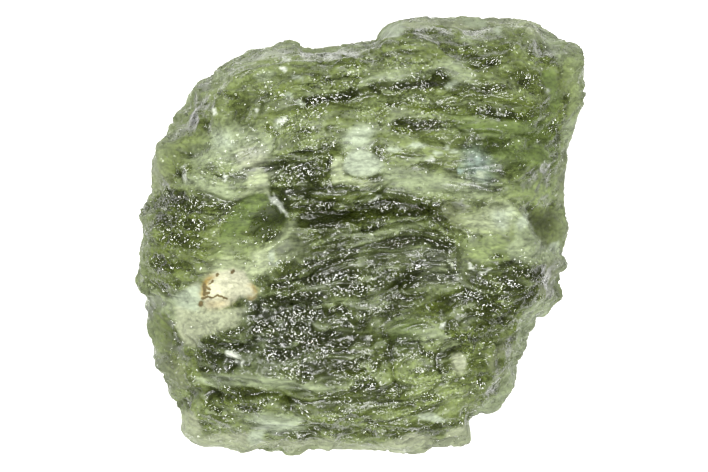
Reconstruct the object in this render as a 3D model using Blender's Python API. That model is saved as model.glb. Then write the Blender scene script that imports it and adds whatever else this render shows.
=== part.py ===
"""A natural moldavite: one solid piece of green tektite glass, etched into flow ridges, ledges and pits.

The stone lies on its broad back face, with its main face up (+Z). Seen from above, +X is to the right and +Y is
the far side. The origin is under the middle of the outline, at the level that the stone rests on.
All sizes below are in millimetres and become metres when the mesh is made.
"""

import math

import bmesh
import bpy
import numpy as np
from mathutils import noise

MM = 0.001
FULL_TURN = 2 * math.pi

# Driving dimensions
FACE_RISE = 5.0  # from the widest line up to the flat of the main face
BACK_DEPTH = 5.2  # from the widest line down to the back
FACE_POWER = 4.2  # the higher, the squarer the shoulder between the face and the sides
BACK_POWER = 2.35
RIM_SHARE = 0.82  # how far out from the middle the small nicks of the outline begin
REST_CUT = 0.55  # how much of the lowest bulge the small flat spot takes away

# The outline seen from above, clockwise from the left end of the far ledge.
OUTLINE = [
    (0.90, 10.05), (1.20, 10.40), (1.60, 10.62), (2.30, 10.76), (3.40, 10.90), (4.20, 10.88), (5.20, 11.00),
    (6.20, 10.84), (6.90, 10.88), (8.15, 10.75), (8.90, 10.52), (9.40, 10.13), (10.10, 9.70), (10.55, 9.66),
    (11.00, 9.25), (11.12, 8.70), (11.10, 7.80), (11.20, 7.30), (11.16, 6.80), (11.05, 6.25), (10.80, 5.90),
    (10.65, 5.15), (10.50, 4.70), (10.30, 4.30), (10.30, 3.80), (10.15, 2.55), (10.15, 1.30), (10.36, 0.60),
    (10.34, 0.20), (10.08, -0.80), (10.32, -1.25), (10.34, -1.55), (10.04, -1.85), (10.00, -2.45),
    (10.12, -2.85), (10.10, -3.15), (9.62, -3.52), (9.28, -3.98), (8.90, -4.15), (8.68, -4.68), (8.48, -4.80),
    (8.38, -5.40), (7.95, -6.40), (7.85, -7.05), (7.62, -7.65), (7.22, -8.20), (7.00, -8.58), (6.55, -8.86),
    (6.00, -8.86), (5.55, -9.12), (5.47, -9.55), (5.60, -9.95), (5.45, -10.32), (4.90, -10.50), (3.60, -10.54),
    (3.20, -10.80), (2.20, -10.86), (0.80, -10.70), (-1.20, -10.65), (-2.50, -10.74), (-3.00, -10.95),
    (-3.60, -11.00), (-4.05, -10.74), (-4.55, -10.83), (-4.95, -10.66), (-5.75, -10.86), (-6.45, -10.68),
    (-7.00, -10.53), (-7.80, -10.55), (-8.50, -10.25), (-8.92, -9.75), (-9.00, -9.25), (-8.95, -8.75),
    (-9.40, -8.00), (-9.75, -7.20), (-9.88, -6.82), (-10.15, -6.60), (-10.30, -6.05), (-10.30, -5.40),
    (-10.58, -4.80), (-10.66, -4.25), (-10.60, -3.80), (-10.80, -3.48), (-10.64, -3.10), (-11.02, -2.68),
    (-11.18, -2.20), (-11.00, -1.40), (-10.90, -0.45), (-10.76, 0.25), (-10.98, 0.95), (-10.85, 1.45),
    (-10.36, 2.25), (-10.34, 3.60), (-10.15, 4.25), (-10.00, 4.68), (-9.66, 4.92), (-9.48, 5.50),
    (-9.10, 6.25), (-8.80, 6.45), (-8.62, 7.00), (-8.35, 7.38), (-7.95, 7.75), (-7.45, 7.95), (-7.15, 8.30),
    (-6.50, 8.72), (-5.98, 8.95), (-5.55, 9.24), (-5.00, 9.33), (-4.40, 9.45), (-3.85, 9.70), (-3.30, 9.76),
    (-2.90, 9.50), (-2.30, 9.33), (-1.40, 9.46), (-0.20, 9.58), (0.60, 9.76),
]

# How high the widest line runs above the stone's middle level, at compass angles counted from +X towards +Y.
WIDEST_LINE = [(0, -0.9), (35, -1.3), (60, -0.2), (95, 0.5), (140, 0.5), (180, -0.4), (215, -1.4), (250, -1.9),
               (290, -2.2), (325, -1.8)]

# Broken and etched side faces: a point on the edge they share with the main face, the compass angle they face,
# and how steeply they fall, in degrees.
SIDE_FACES = [
    ("right_side", (9.75, 7.3, 3.7), 4, 72),
    ("far_right_corner", (9.4, 9.2, 3.2), 48, 58),
    ("right_shoulder", (9.2, 1.4, 3.6), 2, 60),
    ("near_right_side", (7.3, -4.8, 3.5), -32, 60),
    ("near_lip", (0.0, -9.4, 2.7), -90, 60),
    ("near_left_side", (-8.1, -6.0, 3.3), 205, 60),
    ("near_left_corner", (-7.4, -8.6, 2.6), 228, 55),
    ("left_side", (-9.4, -0.3, 3.6), 183, 52),
    ("far_left_slope", (-7.4, 5.6, 3.9), 148, 42),
    ("far_left_brow", (-4.6, 8.0, 4.1), 118, 46),
    ("far_lip", (4.6, 10.0, 3.9), 90, 62),
    ("back_left_face", (-8.2, -1.5, -3.4), 185, 132),
    ("back_near_face", (0.8, -8.4, -4.4), -86, 138),
    ("back_right_face", (8.6, 1.0, -3.2), 12, 128),
    ("back_far_face", (-1.0, 8.2, -3.2), 96, 134),
]
FACE_WEAR = 0.05  # how softly the faces' edges are worn, as a share of the distance from the middle

# Broad swells (+) and hollows (-) of the main face: centre, half-lengths along and across, turn in degrees,
# and height.
SWELLS = [
    ("crown", (-1.0, -1.2), (6.0, 3.2), 12, 0.55),
    ("far_ridge", (3.2, 7.9), (5.0, 1.4), 2, 0.45),
    ("middle_shelf", (2.6, 3.2), (3.6, 1.5), -6, 0.25),
    ("scoop", (-4.9, 0.9), (1.9, 1.15), 35, -1.05),
    ("scoop_rim", (-3.4, 1.2), (0.45, 1.5), 20, 0.40),
    ("haze_shelf", (-6.6, 3.9), (2.4, 1.4), -12, -0.30),
    ("pale_pocket", (-7.0, -2.6), (2.4, 1.35), 22, -0.75),
    ("grain_pit", (-6.5, -2.4), (0.95, 0.70), 10, -0.40),
    ("blister", (-0.1, 3.7), (1.0, 1.15), 0, 0.30),
    ("deep_band", (1.2, 1.0), (3.6, 0.75), -5, -0.55),
    ("right_pan", (6.8, 0.9), (1.9, 1.2), 14, -0.45),
    ("right_window", (9.2, 0.6), (0.9, 0.9), 0, -0.60),
    ("near_right_basin", (2.4, -5.2), (1.5, 1.5), 40, -0.50),
    ("near_trough", (-4.2, -7.8), (4.0, 0.60), -4, -0.50),
    ("near_right_groove", (6.4, -5.2), (1.6, 0.60), 25, -0.45),
    ("dark_bowl", (-5.8, -5.9), (2.0, 0.75), 0, -0.40),
    ("far_dip", (7.6, 4.4), (2.4, 0.55), 3, -0.35),
]

# Long ledges of the main face. Each is a line from left to right. The glass stands up along it and falls away
# on its near side.
LEDGES = [
    ("far_brow", [(-6.5, 6.9), (-5.7, 7.5), (-4.6, 7.9), (-2.8, 8.0)], 0.42),
    ("far_ledge", [(-3.6, 7.0), (-2.2, 7.5), (0.4, 7.7), (2.6, 8.3), (4.6, 8.5)], 0.34),
    ("long_ledge", [(-5.2, 5.8), (-2.4, 6.3), (0.4, 6.4), (2.6, 6.9), (4.6, 7.0), (7.6, 6.4), (9.2, 6.2)], 0.40),
    ("middle_ledge", [(1.8, 5.2), (4.0, 5.4), (6.6, 5.4), (9.0, 4.9)], 0.30),
    ("dark_edge", [(-2.8, 2.1), (-0.4, 1.9), (1.4, 2.0), (3.6, 1.4), (5.0, 0.5)], 0.42),
    ("arch_ledge", [(-2.4, -0.5), (0.0, 0.4), (2.2, 0.7), (4.4, 0.3)], 0.30),
    ("climbing_ledge", [(-3.6, -2.4), (-1.4, -1.2), (0.8, -0.7), (3.2, -0.5)], 0.34),
    ("second_climb", [(-4.8, -3.4), (-2.6, -3.0), (0.4, -2.8), (2.6, -1.8), (5.4, -1.6)], 0.34),
    ("basin_rim", [(-0.4, -4.4), (1.0, -3.7), (2.8, -3.6), (4.4, -4.2)], 0.32),
    ("pocket_foot", [(-8.8, -4.2), (-7.6, -5.4), (-5.8, -5.0), (-4.2, -4.5)], 0.36),
    ("near_double", [(-7.6, -6.7), (-5.6, -6.8), (-3.4, -7.2), (-1.2, -7.9)], 0.38),
    ("near_ledge", [(-7.4, -8.2), (-4.6, -8.2), (-2.0, -8.8), (1.0, -8.7)], 0.34),
    ("lip_ledge", [(-5.6, -8.9), (-3.4, -9.2), (0.4, -9.0), (3.4, -9.0), (6.0, -8.3)], 0.34),
]
LEDGE_STEP = 0.22  # half-width of a ledge's steep side
LEDGE_REACH = 1.3  # how far behind a ledge the glass stays raised

# The layers of the glass arch upwards over these spots, so the ridges etched along them do too.
ARCHES = [((2.5, -0.5), (6.5, 4.5), 1.3), ((0.5, 7.5), (5.5, 3.0), 0.9), ((-2.0, -8.0), (4.5, 2.2), -0.6),
          ((6.0, -7.5), (3.0, 2.5), 0.9), ((-7.5, 4.0), (3.0, 3.0), -0.6)]
LAYER_TILT = 34  # degrees from upright to the layers' own plane

# Ridges etched along the layers: spacing across, length along, height.
FLOW_RIDGES = [(3.1, 13.0, 0.42), (1.5, 7.0, 0.24)]

# Lumps over the whole stone: width and height.
LUMPS = [(9.0, 0.70), (4.2, 0.38), (2.1, 0.17)]

# Round pits on the sides and back: spacing, share of the spacing that a pit fills, depth.
PITS = [(3.4, 0.50, 0.46), (1.8, 0.50, 0.22)]
PIT_SHARE = 0.5  # how many of the spots hold a pit

SPHERE_LEVELS = 7  # 81,920 faces before thinning
SOLID_TRIANGLES = 9400

GLASS_GREEN = (0.20, 0.26, 0.09, 1.0)
GLASS_ROUGHNESS = 0.28
GLASS_CLEAR = 0.45
GLASS_IOR = 1.49


def smoothstep(low, high, value):
    share = np.clip((value - low) / (high - low), 0.0, 1.0)
    return share * share * (3.0 - 2.0 * share)


def curve_through(points, closed=False, steps=6):
    """Points along a Catmull-Rom curve through the given ones."""
    knots = np.array(points, float)
    count = len(knots)
    spans = count if closed else count - 1
    t = np.linspace(0.0, 1.0, steps, endpoint=False)[:, None]
    found = []
    for i in range(spans):
        if closed:
            a, b, c, d = (knots[(i + k) % count] for k in (-1, 0, 1, 2))
        else:
            a, b, c, d = (knots[min(max(i + k, 0), count - 1)] for k in (-1, 0, 1, 2))
        found.append(0.5 * (2 * b + (c - a) * t + (2 * a - 5 * b + 4 * c - d) * t**2 + (3 * b - a - 3 * c + d) * t**3))
    if not closed:
        found.append(knots[-1:])
    return np.concatenate(found)


def outline_radius(angles, soften=0):
    """How far the outline lies from the middle at each angle in radians, averaged over soften degrees each way."""
    rim = curve_through(OUTLINE, closed=True)
    at = np.arctan2(rim[:, 1], rim[:, 0]) % FULL_TURN
    order = np.argsort(at)
    degrees = np.radians(np.arange(360))
    radius = np.interp(degrees, at[order], np.hypot(rim[:, 0], rim[:, 1])[order], period=FULL_TURN)
    radius = np.mean([np.roll(radius, k) for k in range(-soften, soften + 1)], axis=0)
    return np.interp(angles % FULL_TURN, degrees, radius, period=FULL_TURN)


def widest_level(angles):
    """The height of the widest line at each compass angle."""
    at = np.radians([a for a, _ in WIDEST_LINE])
    steps = np.radians(np.arange(0, 360, 5))
    levels = np.interp(steps, at, [h for _, h in WIDEST_LINE], period=FULL_TURN)
    levels = np.mean([np.roll(levels, k) for k in range(-4, 5)], axis=0)
    return np.interp(angles % FULL_TURN, steps, levels, period=FULL_TURN)


def profile(share, power, depth):
    """The rounded section of one half. share runs from 0 at the pole to 1 at the widest line, by length along it."""
    t = np.linspace(0.0, math.pi / 2, 400)
    out = np.sin(t) ** (2 / power)
    up = np.cos(t) ** (2 / power)
    run = np.concatenate([[0.0], np.cumsum(np.hypot(np.diff(out) * 10.8, np.diff(up) * depth))])
    return np.interp(share, run / run[-1], out), np.interp(share, run / run[-1], up)


def perlin(points):
    return np.array([noise.noise(p) for p in points.tolist()])


def smooth_body(ways):
    """The stone before breaking and etching: a point for each unit direction."""
    angle = np.arctan2(ways[:, 1], ways[:, 0])
    tilt = np.arccos(np.clip(ways[:, 2], -1, 1)) / (math.pi / 2)
    top = tilt <= 1
    out, up = np.empty(len(ways)), np.empty(len(ways))
    out[top], up[top] = profile(tilt[top], FACE_POWER, FACE_RISE)
    out[~top], up[~top] = profile(2 - tilt[~top], BACK_POWER, BACK_DEPTH)
    up[~top] *= -1
    radius = outline_radius(angle, soften=7)
    x, y = radius * out * np.cos(angle), radius * out * np.sin(angle)
    z = np.where(top, FACE_RISE, BACK_DEPTH) * up + widest_level(angle) * out**2
    return np.stack([x, y, z], 1)


def cut_side_faces(points):
    """Draws whatever stands outside each side face towards the middle, with a softly worn edge."""
    keep = np.ones(len(points))
    for _, edge_point, facing, fall in SIDE_FACES:
        turn, tilt = math.radians(facing), math.radians(fall)
        normal = np.array([math.cos(turn) * math.sin(tilt), math.sin(turn) * math.sin(tilt), math.cos(tilt)])
        reach = points @ normal
        limit = np.where(reach > 0.1, normal.dot(edge_point) / np.maximum(reach, 0.1), 9.0)
        keep = -FACE_WEAR * np.logaddexp(-keep / FACE_WEAR, -np.minimum(limit, 9.0) / FACE_WEAR)
    points *= keep[:, None]


def swell_height(x, y):
    height = np.zeros(len(x))
    for _, (cx, cy), (along, across), turn, rise in SWELLS:
        c, s = math.cos(math.radians(turn)), math.sin(math.radians(turn))
        u = ((x - cx) * c + (y - cy) * s) / along
        v = (-(x - cx) * s + (y - cy) * c) / across
        height += rise * np.exp(-((u * u + v * v) ** 1.25))
    return height


def ledge_height(x, y):
    """Each ledge is a step down on its near side, and slopes back to level behind it and at its ends."""
    height = np.zeros(len(x))
    for _, line, rise in LEDGES:
        path = curve_through(line)
        level = np.interp(x, path[:, 0], path[:, 1])
        ahead = y - level
        step = 0.5 + 0.5 * np.tanh(ahead / LEDGE_STEP)
        behind = np.exp(-np.maximum(ahead, 0) / LEDGE_REACH)
        foot = 0.35 * np.exp(-((np.minimum(ahead, 0) / LEDGE_STEP + 1.2) ** 2)) * (ahead < 0)
        ends = smoothstep(0, 1.2, x - path[0, 0]) * smoothstep(0, 1.2, path[-1, 0] - x)
        height += rise * ends * (step * behind - foot)
    return height


def layer_coordinates(points):
    """Coordinates along the flow, across the layers, and down the layers."""
    x, y, z = points.T
    arch = np.zeros(len(x))
    for (cx, cy), (along, across), rise in ARCHES:
        arch += rise * np.exp(-(((x - cx) / along) ** 2) - (((y - cy) / across) ** 2))
    c, s = math.cos(math.radians(LAYER_TILT)), math.sin(math.radians(LAYER_TILT))
    return x, (y - arch) * c + z * s, -(y - arch) * s + z * c


def flow_height(points):
    """Sharp crests between rounded troughs, drawn out along the flow."""
    along, across, down = layer_coordinates(points)
    height = np.zeros(len(points))
    for number, (spacing, length, rise) in enumerate(FLOW_RIDGES):
        grid = np.stack([along / length + 7.3 * number, across / spacing, down / (0.45 * length)], 1)
        height += rise * (0.55 - 2.2 * np.abs(perlin(grid)))
    return height


def lump_height(points):
    height = np.zeros(len(points))
    for number, (width, rise) in enumerate(LUMPS):
        height += rise * perlin(points / (0.5 * width) + 3.7 * (number + 1))
    return height


def pit_height(points):
    """Lens-shaped pits around scattered spots."""
    height = np.zeros(len(points))
    for number, (spacing, share, depth) in enumerate(PITS):
        shifted = points / spacing + 11.1 * (number + 1)
        spots = [noise.voronoi(p) for p in shifted.tolist()]
        near = np.array([d[0] for d, _ in spots])
        kept = np.array([noise.cell(c[0] * 5.0) > 1 - 2 * PIT_SHARE for _, c in spots])
        height -= kept * depth * np.clip(1 - (near / share) ** 2, 0, 1)
    return height


def fit_outline(points):
    """Moves the rim of each one-degree sector outwards or inwards, until its farthest point is on the outline."""
    angle = np.arctan2(points[:, 1], points[:, 0]) % FULL_TURN
    radius = np.hypot(points[:, 0], points[:, 1])
    sector = np.degrees(angle).astype(int) % 360
    reach = np.zeros(360)
    np.maximum.at(reach, sector, radius)
    middle = np.radians(np.arange(360) + 0.5)
    scale = np.interp(angle, middle, outline_radius(middle) / reach, period=FULL_TURN)
    near_rim = smoothstep(RIM_SHARE, 0.99, radius / np.interp(angle, middle, reach, period=FULL_TURN))
    points[:, :2] *= (1 + (scale - 1) * near_rim)[:, None]


def etch(points, normals):
    """Carves the relief into the broken body, and rests it at height 0."""
    facing_up = smoothstep(0.15, 0.75, normals[:, 2])
    x, y = points[:, 0].copy(), points[:, 1].copy()
    height = facing_up * (swell_height(x, y) + ledge_height(x, y))
    height += flow_height(points) * (1 - 0.35 * facing_up)
    height += lump_height(points) * (1 - 0.45 * facing_up)
    height += pit_height(points) * (1 - facing_up)
    points += normals * height[:, None]
    fit_outline(points)
    rest_level = points[:, 2].min() + REST_CUT
    points[:, 2] = np.maximum(points[:, 2], rest_level) - rest_level


def glass():
    material = bpy.data.materials.new("green_glass")
    material.use_nodes = True
    shader = material.node_tree.nodes["Principled BSDF"]
    shader.inputs["Base Color"].default_value = GLASS_GREEN
    shader.inputs["Roughness"].default_value = GLASS_ROUGHNESS
    shader.inputs["Transmission Weight"].default_value = GLASS_CLEAR
    shader.inputs["IOR"].default_value = GLASS_IOR
    return material


def place(shell, points):
    for vertex, point in zip(shell.verts, points):
        vertex.co = point
    shell.normal_update()


def make_stone():
    shell = bmesh.new()
    bmesh.ops.create_icosphere(shell, subdivisions=SPHERE_LEVELS, radius=1.0)
    points = smooth_body(np.array([v.co[:] for v in shell.verts]))
    cut_side_faces(points)
    place(shell, points)
    etch(points, np.array([v.normal[:] for v in shell.verts]))
    place(shell, points * MM)
    faces = len(shell.faces)
    mesh = bpy.data.meshes.new("moldavite")
    shell.to_mesh(mesh)
    shell.free()
    mesh.shade_smooth()
    mesh.materials.append(glass())
    stone = bpy.data.objects.new("moldavite", mesh)
    bpy.context.scene.collection.objects.link(stone)
    thin = stone.modifiers.new("thin", "DECIMATE")
    thin.ratio = SOLID_TRIANGLES / faces
    return stone


for old in list(bpy.data.objects):
    bpy.data.objects.remove(old)
make_stone()
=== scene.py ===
# %% [markdown]
# # A moldavite, dressed
#
# Moldavite is natural green glass. It froze from droplets thrown up by a meteorite, and soil water then
# etched it for millions of years. The etching ate along the layers of the glass, so this stone is covered
# with fine ridges, ledges and pits, which glitter like wet sugar, and cloudy veils of tiny bubbles lie in
# the glass between them.
#
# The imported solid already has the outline, the broken sides and the larger ledges. This lesson builds the
# same stone again, finer, and gives it its glass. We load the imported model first, because it sets the
# size and the place of everything here.

# %% Load the frame
import math

import bmesh
import bpy
import numpy as np
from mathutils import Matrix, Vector, noise


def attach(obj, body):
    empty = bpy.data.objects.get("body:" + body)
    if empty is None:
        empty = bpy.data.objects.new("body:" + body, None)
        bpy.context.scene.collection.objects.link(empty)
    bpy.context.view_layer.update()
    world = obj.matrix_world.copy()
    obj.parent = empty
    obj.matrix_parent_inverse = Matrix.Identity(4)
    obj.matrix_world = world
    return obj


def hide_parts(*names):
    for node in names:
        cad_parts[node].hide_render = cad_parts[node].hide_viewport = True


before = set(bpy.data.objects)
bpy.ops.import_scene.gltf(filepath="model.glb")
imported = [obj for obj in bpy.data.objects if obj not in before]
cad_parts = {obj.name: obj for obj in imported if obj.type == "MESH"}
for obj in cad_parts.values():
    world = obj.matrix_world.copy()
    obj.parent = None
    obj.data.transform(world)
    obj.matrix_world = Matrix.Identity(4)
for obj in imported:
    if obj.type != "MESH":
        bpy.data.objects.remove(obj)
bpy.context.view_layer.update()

MM = 0.001
FULL_TURN = 2 * math.pi

# %% [markdown]
# ## The camera
#
# The photograph looks straight down on the stone. A long lens from a distance keeps the outline true, as
# a copy stand does, so that a millimetre at the edge of the picture is as long as one in the middle. We
# work in millimetres, with +X to the right and +Y up in the picture, and the middle of the outline at
# zero.

# %% Camera
FIELD_WIDTH = 35.4  # mm of table across the picture
FIELD_MIDDLE_X = -0.3
LENS = 300.0
SENSOR = 36.0
SHARP_LEVEL = 3.4  # the height of the rim, whose scale the picture keeps


def add_camera():
    data = bpy.data.cameras.new("camera")
    data.lens = LENS
    data.sensor_width = SENSOR
    data.clip_start = 0.01
    data.clip_end = 5.0
    camera = bpy.data.objects.new("camera", data)
    distance = FIELD_WIDTH * LENS / SENSOR
    camera.location = Vector((FIELD_MIDDLE_X, 0, SHARP_LEVEL + distance)) * MM
    bpy.context.scene.collection.objects.link(camera)
    bpy.context.scene.camera = camera
    return distance


print("camera stands off by", round(add_camera()), "mm")

# %% [markdown]
# ## The body
#
# The stone is a rounded block. We could cut it from a cube, or push a ball into shape. A ball is easier:
# each of its points has a compass angle, which gives its place on the outline, and a tilt, which gives
# its height. The points are spread so that the main face, which is looked at most, gets the larger share
# of them.

# %% Body sizes, in millimetres
FACE_RISE = 5.0
BACK_DEPTH = 5.2
FACE_POWER = 4.2
BACK_POWER = 2.35
HALF_WIDTH = 10.8
FACE_SMOOTHING = 7  # degrees of the outline averaged to each side for the smooth body
RIM_SHARE = 0.82
REST_CUT = 0.55
WIDEST_TILT = 105  # degrees of the ball that become the main face and the upper sides

OUTLINE = [
    (0.90, 10.05), (1.20, 10.40), (1.60, 10.62), (2.30, 10.76), (3.40, 10.90), (4.20, 10.88),
    (5.20, 11.00), (6.20, 10.84), (6.90, 10.88), (8.15, 10.75), (8.90, 10.52), (9.40, 10.13),
    (10.10, 9.70), (10.55, 9.66), (11.00, 9.25), (11.12, 8.70), (11.10, 7.80), (11.20, 7.30),
    (11.16, 6.80), (11.05, 6.25), (10.80, 5.90), (10.65, 5.15), (10.50, 4.70), (10.30, 4.30),
    (10.30, 3.80), (10.15, 2.55), (10.15, 1.30), (10.36, 0.60), (10.34, 0.20), (10.08, -0.80),
    (10.32, -1.25), (10.34, -1.55), (10.04, -1.85), (10.00, -2.45), (10.12, -2.85), (10.10, -3.15),
    (9.62, -3.52), (9.28, -3.98), (8.90, -4.15), (8.68, -4.68), (8.48, -4.80), (8.38, -5.40),
    (7.95, -6.40), (7.85, -7.05), (7.62, -7.65), (7.22, -8.20), (7.00, -8.58), (6.55, -8.86),
    (6.00, -8.86), (5.55, -9.12), (5.47, -9.55), (5.60, -9.95), (5.45, -10.32), (4.90, -10.50),
    (3.60, -10.54), (3.20, -10.80), (2.20, -10.86), (0.80, -10.70), (-1.20, -10.65), (-2.50, -10.74),
    (-3.00, -10.95), (-3.60, -11.00), (-4.05, -10.74), (-4.55, -10.83), (-4.95, -10.66), (-5.75, -10.86),
    (-6.45, -10.68), (-7.00, -10.53), (-7.80, -10.55), (-8.50, -10.25), (-8.92, -9.75), (-9.00, -9.25),
    (-8.95, -8.75), (-9.40, -8.00), (-9.75, -7.20), (-9.88, -6.82), (-10.15, -6.60), (-10.30, -6.05),
    (-10.30, -5.40), (-10.58, -4.80), (-10.66, -4.25), (-10.60, -3.80), (-10.80, -3.48), (-10.64, -3.10),
    (-11.02, -2.68), (-11.18, -2.20), (-11.00, -1.40), (-10.90, -0.45), (-10.76, 0.25), (-10.98, 0.95),
    (-10.85, 1.45), (-10.36, 2.25), (-10.34, 3.60), (-10.15, 4.25), (-10.00, 4.68), (-9.66, 4.92),
    (-9.48, 5.50), (-9.10, 6.25), (-8.80, 6.45), (-8.62, 7.00), (-8.35, 7.38), (-7.95, 7.75),
    (-7.45, 7.95), (-7.15, 8.30), (-6.50, 8.72), (-5.98, 8.95), (-5.55, 9.24), (-5.00, 9.33),
    (-4.40, 9.45), (-3.85, 9.70), (-3.30, 9.76), (-2.90, 9.50), (-2.30, 9.33), (-1.40, 9.46),
    (-0.20, 9.58), (0.60, 9.76),
]

# The height of the widest line at compass angles counted from +X towards +Y.
WIDEST_LINE = [
    (0, -0.9), (35, -1.3), (60, -0.2), (95, 0.5), (140, 0.5), (180, -0.4), (215, -1.4), (250, -1.9),
    (290, -2.2), (325, -1.8),
]
print("outline of", len(OUTLINE), "points")

# %% The smooth body
CIRCLE = 360
LEVEL_STEP = 5  # degrees between the heights of the widest line
LEVEL_SMOOTHING = 4  # steps averaged to each side
PROFILE_STEPS = 400


def smoothstep(low, high, value):
    share = np.clip((value - low) / (high - low), 0.0, 1.0)
    return share * share * (3.0 - 2.0 * share)


def curve_through(points, closed=False, steps=6):
    """A smooth curve that passes through all the points."""
    knots = np.array(points, float)
    count = len(knots)
    t = np.linspace(0.0, 1.0, steps, endpoint=False)[:, None]
    found = []
    for i in range(count if closed else count - 1):
        if closed:
            a, b, c, d = (knots[(i + k) % count] for k in (-1, 0, 1, 2))
        else:
            a, b, c, d = (knots[min(max(i + k, 0), count - 1)] for k in (-1, 0, 1, 2))
        square = 2 * a - 5 * b + 4 * c - d
        cube = 3 * b - a - 3 * c + d
        found.append(0.5 * (2 * b + (c - a) * t + square * t**2 + cube * t**3))
    if not closed:
        found.append(knots[-1:])
    return np.concatenate(found)


def outline_radius(angles, soften=0):
    """The outline's distance from the middle, averaged over some degrees to each side."""
    rim = curve_through(OUTLINE, closed=True)
    at = np.arctan2(rim[:, 1], rim[:, 0]) % FULL_TURN
    order = np.argsort(at)
    degrees = np.radians(np.arange(CIRCLE))
    radius = np.interp(degrees, at[order], np.hypot(rim[:, 0], rim[:, 1])[order], period=FULL_TURN)
    radius = np.mean([np.roll(radius, k) for k in range(-soften, soften + 1)], axis=0)
    return np.interp(angles % FULL_TURN, degrees, radius, period=FULL_TURN)


def widest_level(angles):
    at = np.radians([a for a, _ in WIDEST_LINE])
    steps = np.radians(np.arange(0, CIRCLE, LEVEL_STEP))
    levels = np.interp(steps, at, [h for _, h in WIDEST_LINE], period=FULL_TURN)
    turned = [np.roll(levels, k) for k in range(-LEVEL_SMOOTHING, LEVEL_SMOOTHING + 1)]
    levels = np.mean(turned, axis=0)
    return np.interp(angles % FULL_TURN, steps, levels, period=FULL_TURN)


def profile(share, power, depth):
    """How far out and up a point lies that is a given share of the way from the top to the rim."""
    t = np.linspace(0.0, math.pi / 2, PROFILE_STEPS)
    out = np.sin(t) ** (2 / power)
    up = np.cos(t) ** (2 / power)
    run = np.concatenate([[0.0], np.cumsum(np.hypot(np.diff(out) * HALF_WIDTH, np.diff(up) * depth))])
    return np.interp(share, run / run[-1], out), np.interp(share, run / run[-1], up)


def smooth_body(ways):
    angle = np.arctan2(ways[:, 1], ways[:, 0])
    tilt = np.degrees(np.arccos(np.clip(ways[:, 2], -1, 1)))
    top = tilt <= WIDEST_TILT
    out, up = np.empty(len(ways)), np.empty(len(ways))
    out[top], up[top] = profile(tilt[top] / WIDEST_TILT, FACE_POWER, FACE_RISE)
    out[~top], up[~top] = profile((180 - tilt[~top]) / (180 - WIDEST_TILT), BACK_POWER, BACK_DEPTH)
    up[~top] *= -1
    radius = outline_radius(angle, soften=FACE_SMOOTHING)
    x, y = radius * out * np.cos(angle), radius * out * np.sin(angle)
    z = np.where(top, FACE_RISE, BACK_DEPTH) * up + widest_level(angle) * out**2
    return np.stack([x, y, z], 1)


print("its top lies", round(smooth_body(np.array([[0.0, 0.0, 1.0]]))[0, 2], 2), "mm over the ball's middle")

# %% [markdown]
# ## The broken sides
#
# The block's sides are old breaks. Each is nearly flat and meets the main face along a worn edge. A plane
# for each one is enough: any point beyond it is drawn back towards the middle of the stone. Where two
# planes compete, a soft minimum keeps the nearer one and rounds the edge between them.

# %% Side faces: a point on the upper edge, the compass angle faced, and the fall in degrees
SIDE_FACES = [
    ("right_side", (9.75, 7.3, 3.7), 4, 72),
    ("far_right_corner", (9.4, 9.2, 3.2), 48, 58),
    ("right_shoulder", (9.2, 1.4, 3.6), 2, 60),
    ("near_right_side", (7.3, -4.8, 3.5), -32, 60),
    ("near_lip", (0.0, -9.4, 2.7), -90, 60),
    ("near_left_side", (-8.1, -6.0, 3.3), 205, 60),
    ("near_left_corner", (-7.4, -8.6, 2.6), 228, 55),
    ("left_side", (-9.4, -0.3, 3.6), 183, 52),
    ("far_left_slope", (-7.4, 5.6, 3.9), 148, 42),
    ("far_left_brow", (-4.6, 8.0, 4.1), 118, 46),
    ("far_lip", (4.6, 10.0, 3.9), 90, 62),
    ("back_left_face", (-8.2, -1.5, -3.4), 185, 132),
    ("back_near_face", (0.8, -8.4, -4.4), -86, 138),
    ("back_right_face", (8.6, 1.0, -3.2), 12, 128),
    ("back_far_face", (-1.0, 8.2, -3.2), 96, 134),
]
FACE_WEAR = 0.05
LEAST_REACH = 0.1  # mm, below which a point doesn't face the plane
FAR_AWAY = 9.0


def cut_side_faces(points):
    keep = np.ones(len(points))
    for _, edge_point, facing, fall in SIDE_FACES:
        turn, tilt = math.radians(facing), math.radians(fall)
        out = math.sin(tilt)
        normal = np.array([math.cos(turn) * out, math.sin(turn) * out, math.cos(tilt)])
        reach = points @ normal
        limit = normal.dot(edge_point) / np.maximum(reach, LEAST_REACH)
        limit = np.minimum(np.where(reach > LEAST_REACH, limit, FAR_AWAY), FAR_AWAY)
        keep = -FACE_WEAR * np.logaddexp(-keep / FACE_WEAR, -limit / FACE_WEAR)
    points *= keep[:, None]


print(len(SIDE_FACES), "side faces")

# %% [markdown]
# ## The layers
#
# Everything on this stone follows the layers of the glass: the ridges, the streaks and the veils. So we
# give each point a second set of coordinates, along the flow, across the layers and down them. The layers
# dip into the stone and arch over a few spots, which is why the ridges run in gentle bows and not in
# straight lines.

# %% Flow coordinates
ARCHES = [
    ((2.5, -0.5), (6.5, 4.5), 1.3),
    ((0.5, 7.5), (5.5, 3.0), 0.9),
    ((-2.0, -8.0), (4.5, 2.2), -0.6),
    ((6.0, -7.5), (3.0, 2.5), 0.9),
    ((-7.5, 4.0), (3.0, 3.0), -0.6),
]
LAYER_TILT = 34


def layer_coordinates(points):
    x, y, z = points.T
    arch = np.zeros(len(x))
    for (cx, cy), (along, across), rise in ARCHES:
        arch += rise * np.exp(-(((x - cx) / along) ** 2) - (((y - cy) / across) ** 2))
    c, s = math.cos(math.radians(LAYER_TILT)), math.sin(math.radians(LAYER_TILT))
    return x, (y - arch) * c + z * s, -(y - arch) * s + z * c


print("the layers dip by", LAYER_TILT, "degrees and bow at", len(ARCHES), "spots")

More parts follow.
